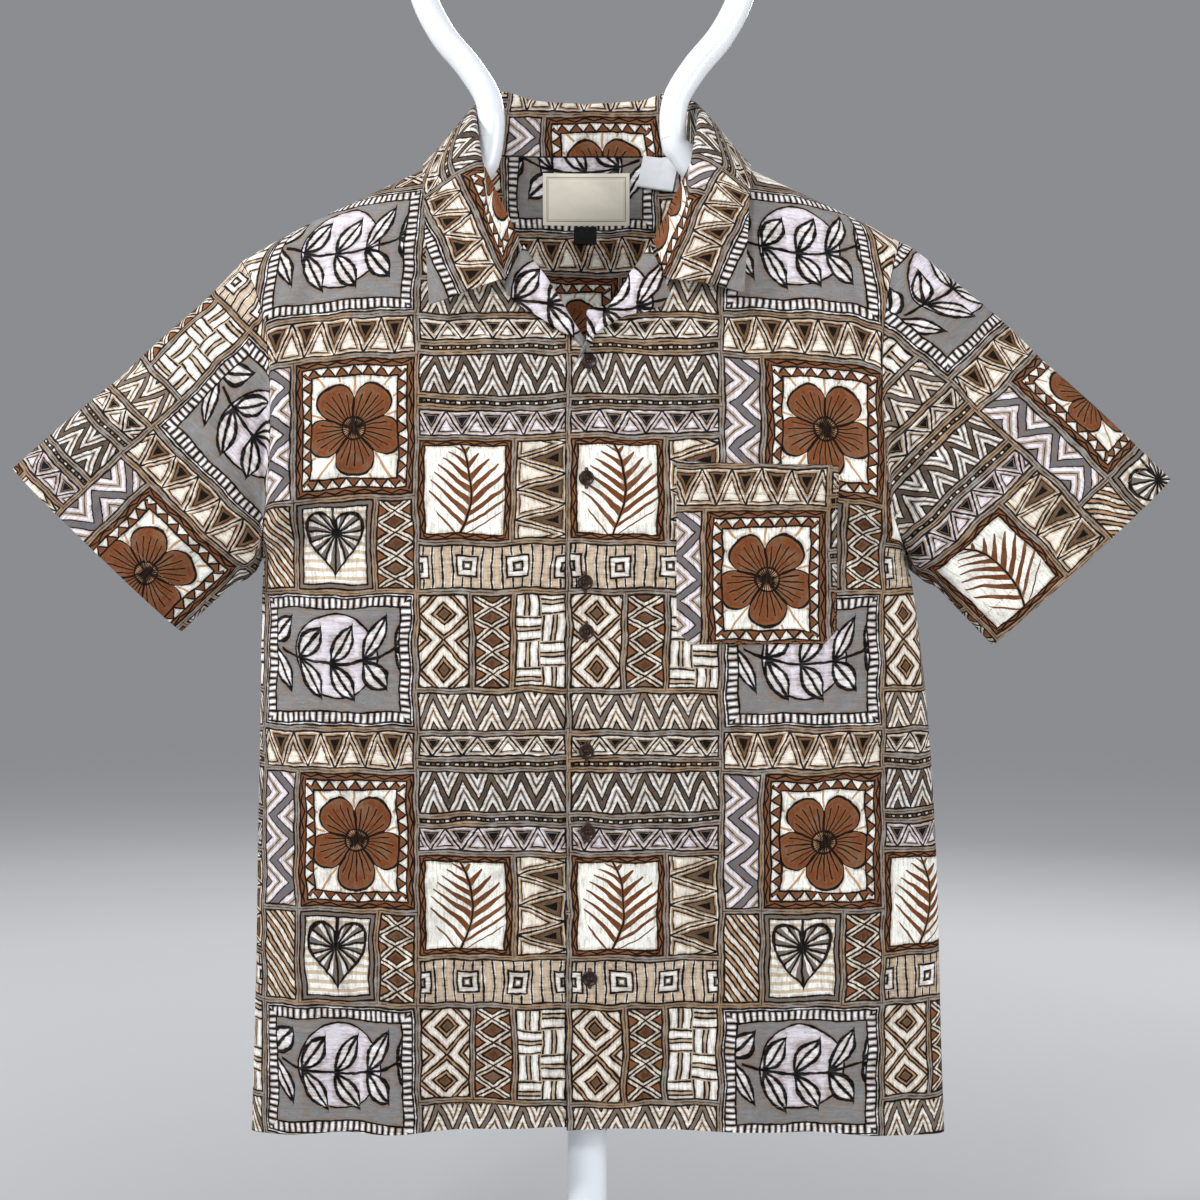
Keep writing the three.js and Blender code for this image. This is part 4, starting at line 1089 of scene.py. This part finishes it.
def make_button(number, x, height, finish):
    """A dished four-hole button with a rounded rim and a turned ring."""
    top = np.concatenate([np.linspace(0.03, 4.6, 34), np.linspace(4.75, BUTTON_RADIUS - 0.45, 8)])
    face = 1.75 - 0.35 * np.exp(-((top / 3.2) ** 4)) - 0.22 * hump(top - 3.5, 0.22)
    face = face + 0.55 * smooth((top - 4.0) / 0.9) - 0.3 * smooth((top - 5.0) / 0.8) ** 2
    rim = [(BUTTON_RADIUS - 0.12, face[-1] - 0.3), (BUTTON_RADIUS, 1.2), (BUTTON_RADIUS - 0.2, 0.5),
           (BUTTON_RADIUS - 1.2, 0.05), (BUTTON_RADIUS - 2.0, 0.0), (0.03, 0.0)]
    profile = np.concatenate([np.stack([top, face], 1), rim])
    turn = turns(96)
    flat = np.stack([np.cos(turn), np.sin(turn)], 1)[None] * profile[:, :1, None]
    up = np.broadcast_to(profile[:, 1:], flat.shape[:2]).copy()
    for corner in turns(4) + math.pi / 4:
        hole = HOLE_AT * np.array([math.cos(corner), math.sin(corner)])
        off = np.linalg.norm(flat[: len(top)] - hole, axis=2)
        up[: len(top)] -= 1.1 * smooth((HOLE_RADIUS + 0.1 - off) / 0.2)
    place, ways = front_frame(x, height, BUTTON_LIFT)
    rings = np.concatenate([flat, up[..., None]], 2) @ ways + place
    return mesh_object(f"button_{number}_dished", *ring_mesh(lifted(rings)), finish, sharp=60)


def cords(name, lines, radii, finish, sides=7):
    """Closed cords, each along a path and with a way out of the cloth at each of its points.
    radii has one height and one width per point."""
    turn = turns(sides)
    vertices, faces = [], []
    for path, out in lines:
        aside = unit(np.cross(np.gradient(path, axis=0), out))
        wide = radii[:, 1][:, None, None] * np.cos(turn)[None, :, None] * aside[:, None]
        tall = radii[:, 0][:, None, None] * np.sin(turn)[None, :, None] * out[:, None]
        points, these = ring_mesh(path[:, None] + wide + tall)
        start = len(points) * len(vertices)
        vertices.append(points)
        faces += [[k + start for k in face] for face in these]
    return mesh_object(name, lifted(np.concatenate(vertices)), faces, finish)


def on_buttons(strands, lift):
    """Lines for cords at every button, from strands counted sideways, up and out from its middle."""
    for x, height in BUTTONS:
        place, ways = front_frame(x, height, lift)
        for strand in strands:
            yield strand @ ways + place, np.broadcast_to(ways[2], strand.shape)


def make_buttonholes(finish):
    """Corded slits up the left front's edge, one under each button."""
    half, wide = BUTTONHOLE["half"], BUTTONHOLE["wide"]
    count = len(np.arange(0, 4 * half + 2 * math.pi * wide, BUTTONHOLE["rib"] / 3))
    turn = np.linspace(0, 2 * math.pi, count)
    across = wide * np.sign(np.cos(turn)) * np.abs(np.cos(turn)) ** 0.25
    rib = 1 + 0.16 * np.cos(np.arange(count) * 2 * math.pi / 3)
    radii = np.stack([0.42 * rib, BUTTONHOLE["thread"] * rib], 1)
    slit = np.stack([across, half * np.sin(turn), 0 * turn], 1)
    return cords("buttonholes", on_buttons([slit], 0.15), radii, finish)


def make_button_threads(finish):
    """Two strands through each pair of a button's holes, side by side."""
    way = np.linspace(-1, 1, 9)
    strands = [
        np.stack([np.full(9, aside), way * 1.25, 1.75 - 0.9 * np.abs(way) ** 5], 1)
        for aside in (-1.3, -0.95, 0.95, 1.3)
    ]
    return cords("button_threads", on_buttons(strands, BUTTON_LIFT), np.full((9, 2), 0.2), finish)


def edge_line(name, distance, axis=0, from_end=False, trim=0):
    """Points and normals on the outside of a cloth piece that keep one distance from an edge of its
    grid: its first or last row (axis 0) or column (axis 1)."""
    outer, normals = GRIDS[name]
    lines = outer if axis == 0 else outer.swapaxes(0, 1)
    gone = lengths(lines[::-1] if from_end else lines)
    far_in = np.array([np.interp(distance, column, np.arange(len(gone))) for column in gone.T])
    if from_end:
        far_in = len(gone) - 1 - far_in
    keep = slice(trim, len(far_in) - trim)
    places = (far_in[keep], np.arange(len(far_in), dtype=float)[keep])
    rows, columns = places if axis == 0 else places[::-1]
    r0, c0 = (
        np.clip(np.floor(at).astype(int), 0, count - 2) for at, count in zip((rows, columns), outer.shape)
    )
    r, c = (rows - r0)[:, None], (columns - c0)[:, None]
    return [
        mix(mix(grid[r0, c0], grid[r0, c0 + 1], c), mix(grid[r0 + 1, c0], grid[r0 + 1, c0 + 1], c), r)
        for grid in (outer, normals)
    ]


def stitches(name, lines, finish):
    """Machine stitches along lines of points and normals: short strands that dip at both ends."""
    pitch = STITCH["pitch"]
    way = np.linspace(0, 1, 7)
    radii = np.stack([STITCH["thread"] * np.sin(math.pi * np.clip(way, 0.1, 0.9)) ** 0.5] * 2, 1)
    dip = 0.16 - 0.3 * np.abs(2 * way - 1)[:, None] ** 3
    strands = []
    for line in lines:
        length = lengths(line[0])
        for start in np.arange(1.0, length[-1] - pitch, pitch):
            at = start + way * (pitch - STITCH["gap"])
            place, out = (np.stack([np.interp(at, length, part[:, k]) for k in range(3)], 1) for part in line)
            strands.append((place + out * dip, out))
    return cords(name, strands, radii, finish, 5)


def make_stitches(finish):
    """Machine stitching along the hems, the cuffs, the collar's leaf and the pocket."""
    for name in ("front_left", "front_right", "back"):
        hem = edge_line(f"{name}_cloth", STITCHED_AT["hem"])
        yield stitches(f"{name}_hem_stitches", [hem], finish)
    for name in ("left", "right"):
        cuff = edge_line(f"sleeve_{name}_cloth", STITCHED_AT["cuff"])
        yield stitches(f"cuff_{name}_stitches", [cuff], finish)
    edges = ((1, True, 2), (0,), (0, True))
    leaf, *points = (edge_line("collar_cloth", STITCHED_AT["collar"], *edge) for edge in edges)
    points = [[part[COLLAR_COLUMNS[0] + 3 : -3] for part in line] for line in points]
    yield stitches("collar_stitches", [leaf, *points], finish)
    near = STITCHED_AT["pocket"]
    edges = ((near, 1), (near, 1, True), (near,), (STITCHED_AT["pocket hem"], 0, True))
    yield stitches("pocket_stitches", [edge_line("pocket_cloth", *edge) for edge in edges], finish)


# ---- Stand ----------------------------------------------------------------------------------
HEAD_LOOP = ((0, 1068), (50, 1058), (94, 1032), (124, 994), (134, 951), (130, 917), (114, 884),
             (92, 857), (77, 832), (74, 812), (75, 799))
LOOP_SHIFT = -4  # the head loop is bent a little towards the wearer's right
ARM = {"tip": 258, "turn": 30, "hub": 566, "joint": 0.03}
GAP = 0.3  # between the stand's pieces
SHOULDER_CLEAR = 16.8
POLE_TOP = 548
HUB_RADIUS = 21.0
HUB = (532, 592)
BASE = {"radius": 165.0, "thick": 6.0, "socket": 23.0, "socket_high": 40.0}


def smooth_path(points, spacing):
    """A round bend through the points, cut into even steps (centripetal Catmull-Rom)."""
    points = np.array(points, float)
    ends = np.concatenate([[2 * points[0] - points[1]], points, [2 * points[-1] - points[-2]]])
    fine = []
    for p0, p1, p2, p3 in zip(ends, ends[1:], ends[2:], ends[3:]):
        gaps = [max(np.linalg.norm(q - p) ** 0.5, 1e-6) for p, q in ((p0, p1), (p1, p2), (p2, p3))]
        leave = (p2 - p1) + gaps[1] * ((p1 - p0) / gaps[0] - (p2 - p0) / (gaps[0] + gaps[1]))
        arrive = (p2 - p1) + gaps[1] * ((p3 - p2) / gaps[2] - (p3 - p1) / (gaps[1] + gaps[2]))
        fine.append(hermite(np.linspace(0, 1, 24)[:-1, None], p1, p2, leave, arrive))
    fine = np.concatenate([*fine, points[-1:]])
    length = lengths(fine)
    at = np.linspace(0, length[-1], max(3, int(length[-1] / spacing)))
    return np.stack([np.interp(at, length, fine[:, k]) for k in range(3)], 1)


def tube(name, path, finish):
    """A round tube along a path in the plane of the shoulders, cut square at its ends."""
    path = smooth_path([(x, 0, z) for x, z in path], 6.0)
    back = np.array([0.0, 1.0, 0.0])
    aside = np.cross(unit(np.gradient(path, axis=0)), back)
    turn = turns(32)
    rim = np.cos(turn)[None, :, None] * aside[:, None] + np.sin(turn)[None, :, None] * back
    return mesh_object(name, *ring_mesh(lifted(path[:, None] + TUBE_RADIUS * rim)), finish)


def turned(name, profile, finish, sides=64):
    """A piece turned about the pole, from a profile of radius and height with flat caps at its ends."""
    radius, height = np.array(profile, float).T[..., None]
    turn = turns(sides)
    rings = np.stack([radius * np.cos(turn), radius * np.sin(turn), height + 0 * turn], 2)
    return mesh_object(name, *ring_mesh(rings, flip=False), finish)


def rounded(corners, radius):
    """A profile whose inner corners are eased."""
    corners = np.array(corners, float)
    eased = [corners[0]]
    for before, corner, after in zip(corners, corners[1:], corners[2:]):
        reach = min(radius, np.linalg.norm(before - corner) / 2, np.linalg.norm(after - corner) / 2)
        start, end = (corner + unit(other - corner) * reach for other in (before, after))
        for t in np.linspace(0, 1, 5):
            eased.append((1 - t) ** 2 * start + 2 * t * (1 - t) * corner + t * t * end)
    return [*eased, corners[-1]]


def arm_path(side):
    """From the head loop's end out along the shoulder, round the tip and back in to the hub."""
    above, neck = np.array(HEAD_LOOP[-2:]) + np.array([side * LOOP_SHIFT, 0.0])
    step = unit(neck - above)
    start = neck + step * ARM["joint"]

    def under(x, more=0.0):
        return (x, float(shoulder_height(x)) - SHOULDER_CLEAR - more)

    tip, hub = ARM["tip"], ARM["hub"]
    turn = under(tip)[1] - ARM["turn"]
    low = turn - 18
    points = [
        start, start + step * 5, (mix(start[0], 82, 0.6), 787), (83.5, 778), (92, 769.5), (105, 764.8),
        *(under(x) for x in (119, 148, 190, 228)),
        under(tip - 8, 3), (tip, turn + 6), (tip - 14, low),
        (190, mix(low, hub, 0.28)), (110, mix(low, hub, 0.7)), (58, hub + 3), (38, hub),
        (HUB_RADIUS + GAP, hub),
    ]
    return [(side * x, z) for x, z in points]


def make_stand(finish):
    loop = [(-x, z) for x, z in HEAD_LOOP[:0:-1]] + list(HEAD_LOOP)
    yield tube("head_loop_tube", [(LOOP_SHIFT + x, z) for x, z in loop], finish)
    for name, side in (("left", 1), ("right", -1)):
        yield tube(f"shoulder_tube_{name}_bent", arm_path(side), finish)
    low, high, top = (height + HEM_HEIGHT for height in (*HUB, POLE_TOP))
    bore, thick = POLE_RADIUS + GAP, BASE["thick"]
    foot = thick + GAP
    pole = rounded([(0, foot), (POLE_RADIUS, foot), (POLE_RADIUS, top), (0, top)], 1.0)
    yield turned("pole_tube", pole[1:-1], finish)
    outside = rounded([(bore, low), (HUB_RADIUS, low), (HUB_RADIUS, high), (0, high)], 4.0)
    yield turned("hub_socket", [(bore, top + GAP), *outside[:-1]], finish)
    base = rounded([
        (0, 0), (BASE["radius"], 0), (BASE["radius"], thick), (BASE["socket"], thick),
        (BASE["socket"], BASE["socket_high"]), (bore, BASE["socket_high"]), (bore, thick), (0, thick),
    ], 2.0)
    yield turned("base_plate", base[1:-1], finish, sides=128)


# ---- Making it ------------------------------------------------------------------------------
def cotton_finish():
    """Printed cotton: watery paint, brushed shadows beside the inked lines, and a plain weave."""
    finish = Finish("printed_cotton")
    flat, strokes, paint, ink, lines = patchwork(finish)
    blot = finish.noise(flat, 9.0, 3.0, 0.6)
    dry = ((0.42 - strokes) * 4.5).high(0).low(0.3)
    shade = blot.times_plus(0.36, 0.78) + strokes * 0.2 + dry * 0.6
    grey = finish.node("CombineColor", {}, {"Red": shade, "Green": shade, "Blue": shade * 1.01})
    paint = finish.mix(1.0, paint, grey, "MULTIPLY")

    # Washes of brown: where the brush was wet, in stains and beside the lines.
    wet = ((strokes - 0.55) * 4.5).high(0).low(0.34)
    stain = finish.noise(flat, 22.0, 4.0, 0.65).share(0.5, 0.72) * 0.42
    pooled = lines.share(3.0, 0.9) * (blot + strokes * 0.5 - 0.55) * 2.2
    paint = finish.mix(wet, paint, colour("6F5A46"))
    paint = finish.mix(stain * strokes.times_plus(1.2, 0.3).low(1), paint, colour("8A7864"))
    paint = finish.mix(pooled.low(0.5).high(0), paint, colour("7A5E43"))

    # Ink: specks, and lines of uneven width.
    paint = finish.mix((finish.noise(flat, 1.1, 1.0) > 0.74) * 0.5, paint, ink)
    width = blot.times_plus(0.9, 0.15) + strokes * 0.3
    inked = ((width - lines) / 0.3).times_plus(1, 0.5).low(1).high(0)
    paint = finish.mix(inked * strokes.times_plus(0.25, 0.86).low(1), paint, ink)
    bump = finish.bump(finish.noise(flat, 16.0, 2.0, 0.55) * 0.9 + finish.noise(flat, 0.9) * 0.12)
    return finish.done(Base_Color=paint, Roughness=0.85, Normal=bump, Sheen_Weight=0.02, Specular_IOR_Level=0.1)


def enamel_finish():
    finish = Finish("white_enamel")
    mottle = finish.noise(finish.place(), 0.02, 2.0, flat=False)
    roughness, bump = mottle.times_plus(0.08, 0.2), finish.bump(mottle, 0.0004, 0.4)
    return finish.done(Base_Color=colour("E7ECF1"), Roughness=roughness, Normal=bump, Coat_Weight=0.3)


def thread_finish(name, code):
    """Twisted sewing thread, its colour darker and lighter at random along it."""
    finish = Finish(name)
    thread_tone = finish.noise(finish.place(), 0.0009, 1.0, flat=False)
    return finish.done(Base_Color=finish.mix(thread_tone, colour(code, 0.6), colour(code, 1.25)), Roughness=0.75)


def button_finish():
    """Dark brown resin with cloudy streaks, its gloss varying with them."""
    finish = Finish("brown_resin")
    cloud = finish.noise(finish.place(), 0.004, 3.0, 0.6, flat=False)
    base = finish.mix(cloud.share(0.35, 0.7), colour("120B09"), colour("3A231B"))
    return finish.done(Base_Color=base, Roughness=cloud.times_plus(0.16, 0.26), Specular_IOR_Level=0.3)


def label_finish(name, code, framed=None):
    """A woven label: fine ribs with painted shade in the grooves between them, and a line inside its edge if it
    has one.
    """
    finish = Finish(name)
    flat = finish.flat_cloth()
    across, up, _ = finish.split(flat)
    ribs = up.lines(0.55)
    worn = finish.noise(flat, 5.0, 3.0)
    # painted shade: a darker copy of the label's colour lies in the grooves between the ribs, and worn adds a
    # random tone
    paint = finish.mix(ribs * 1.2 + worn * 0.4, colour(code, 0.86), colour(code))
    if framed:
        edge = (framed["wide"] / 2 - abs(across)).low(framed["tall"] / 2 - abs(up))
        line = (abs(edge - 3.4) < 0.32).high(abs(edge - 4.6) < 0.14)
        paint = finish.mix(line * 0.8, paint, colour("6B5A45"))
    bump = finish.bump(ribs * 0.12 + finish.noise(flat, 9.0, 1.0) * 0.5)
    roughness = worn.times_plus(0.12, 0.42)
    return finish.done(Base_Color=paint, Roughness=roughness, Normal=bump, Specular_IOR_Level=0.12)


cotton = cotton_finish()
thread = thread_finish("sewing_thread", "9B8468")
brown_thread = thread_finish("buttonhole_thread", "5A3A26")
resin = button_finish()
stand = list(make_stand(enamel_finish()))
left_front, right_front = make_fronts(cotton)
back = make_back(cotton)
left_sleeve, right_sleeve = (make_sleeve(name, cotton) for name in ("left", "right"))
collar = make_collar(cotton)
left_facing, right_facing = (make_facing(name, cotton) for name in ("left", "right"))
pocket = make_pocket(cotton)
buttons = [make_button(number, x, height, resin) for number, (x, height) in enumerate(BUTTONS, 1)]
neck_label = make_neck_label(label_finish("label_cream", "F5EEDD", NECK_LABEL))
size_tab = make_folded_label("size_tab_folded", SIZE_TAB, label_finish("label_black", "0D0D10"), 1.0)
care_label = make_folded_label("care_label_folded", CARE_LABEL, label_finish("label_white", "DCE0E4"), 2.2)
buttonholes = make_buttonholes(brown_thread)
button_threads = make_button_threads(brown_thread)
left_hem, right_hem, back_hem, left_cuff, right_cuff, collar_edge, pocket_edge = make_stitches(thread)

for slot, pieces in (
    ("printed_cotton", (
        (left_front, "front_left"), (right_front, "front_right"), (back, "back"), (left_sleeve, "sleeve_left"),
        (right_sleeve, "sleeve_right"), (collar, "collar"), (left_facing, "facing_left"),
        (right_facing, "facing_right"), (pocket, "pocket"),
    )),
    ("label_cream", ((neck_label, "neck_label"),)),
    ("label_black", ((size_tab, "size_tab"),)),
    ("label_white", ((care_label, "care_label"),)),
    ("button_brown", tuple((button, f"button_{number}") for number, button in enumerate(buttons, 1))),
    ("white_paint", tuple(zip(stand, (
        "head_loop", "shoulder_tube_left", "shoulder_tube_right", "pole", "hub", "base",
    )))),
):
    for piece, node in pieces:
        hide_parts(node)

tubes = stand[:3]
body = (left_front, right_front, back)
for piece, wide, long, area, held, rests_on, sewn_on in (
    (left_front, 0.34, 0.81, 0.217, "hung", tubes[1:2], (left_hem, buttonholes)),
    (right_front, 0.34, 0.81, 0.216, "hung", tubes[2:3], (right_hem, button_threads, *buttons)),
    (back, 0.61, 0.81, 0.43, "hung", tubes[1:], (back_hem,)),
    (left_sleeve, 0.56, 0.29, 0.097, "hung", (left_front, back), (left_cuff,)),
    (right_sleeve, 0.53, 0.25, 0.08, "hung", (right_front, back), (right_cuff,)),
    (collar, 0.59, 0.13, 0.051, "folded", (*body, tubes[0]), (collar_edge,)),
    (left_facing, 0.125, 0.06, 0.0048, "folded", (left_front,), ()),
    (right_facing, 0.105, 0.06, 0.0045, "folded", (right_front,), ()),
    (pocket, 0.13, 0.146, 0.0185, "hung", (left_front,), (pocket_edge,)),
    (neck_label, 0.073, 0.0435, 0.00317, "hung", (back,), ()),
    (size_tab, 0.019, 0.032, 0.0006, "folded", (back,), ()),
    (care_label, 0.032, 0.054, 0.0017, "folded", (back,), ()),
):
    list(rests_on)
    list(sewn_on)

# ---- Camera, floor and light ----------------------------------------------------------------
scene = bpy.context.scene
camera = bpy.data.objects.new("camera", bpy.data.cameras.new("camera"))
camera.data.lens = 53.2
camera.location = (0.0106, -1.45, (HEM_HEIGHT + 422) * MM)
camera.rotation_euler = (math.pi / 2, 0, 0)  # level, looking towards the back
scene.collection.objects.link(camera)
scene.camera = camera


def floor_finish():
    finish = Finish("pale_floor")
    distance = finish.place().vector("LENGTH")
    # painted shade: the floor is painted darker near the stand and paler from 0.4 m to 3.2 m out
    shade = finish.mix(distance.share(0.4, 3.2), colour("A4A6A9"), colour("F4F5F6"))
    return finish.done(Base_Color=shade, Roughness=0.8, Alpha=distance.share(6.8, 2.2))


FLOOR_RADIUS = 7  # metres
floor_mesh = bpy.data.meshes.new("floor")
rim = [(FLOOR_RADIUS * math.cos(turn), FLOOR_RADIUS * math.sin(turn), 0) for turn in turns(96)]
floor_mesh.from_pydata(rim, [], [list(range(len(rim)))])
floor = bpy.data.objects.new("floor", floor_mesh)
scene.collection.objects.link(floor)
floor_mesh.materials.append(floor_finish())

world = bpy.data.worlds.new("studio")
world.use_nodes = True
sky = world.node_tree.nodes["Background"].inputs
sky["Color"].default_value = (0.86, 0.885, 0.93, 1)
sky["Strength"].default_value = 0.3
scene.world = world

for name, place, aim_height, size, power in (
    ("window", (-2.4, -0.9, 2.75), 0.75, 0.45, 96),
    ("front", (-0.8, -2.2, 2.3), 0.85, 0.45, 27),
    ("bounce", (2.0, -1.6, 1.1), 0.7, 1.6, 37),
    ("rim", (0.9, 2.0, 2.2), 0.8, 1.2, 30),
):
    light = bpy.data.objects.new(name, bpy.data.lights.new(name, "AREA"))
    light.data.energy = power
    light.data.size = size
    light.location = place
    x, y, z = place
    light.rotation_euler = (math.atan2(math.hypot(x, y), z - aim_height), 0, math.atan2(x, -y))
    scene.collection.objects.link(light)

scene.view_settings.view_transform = "Standard"
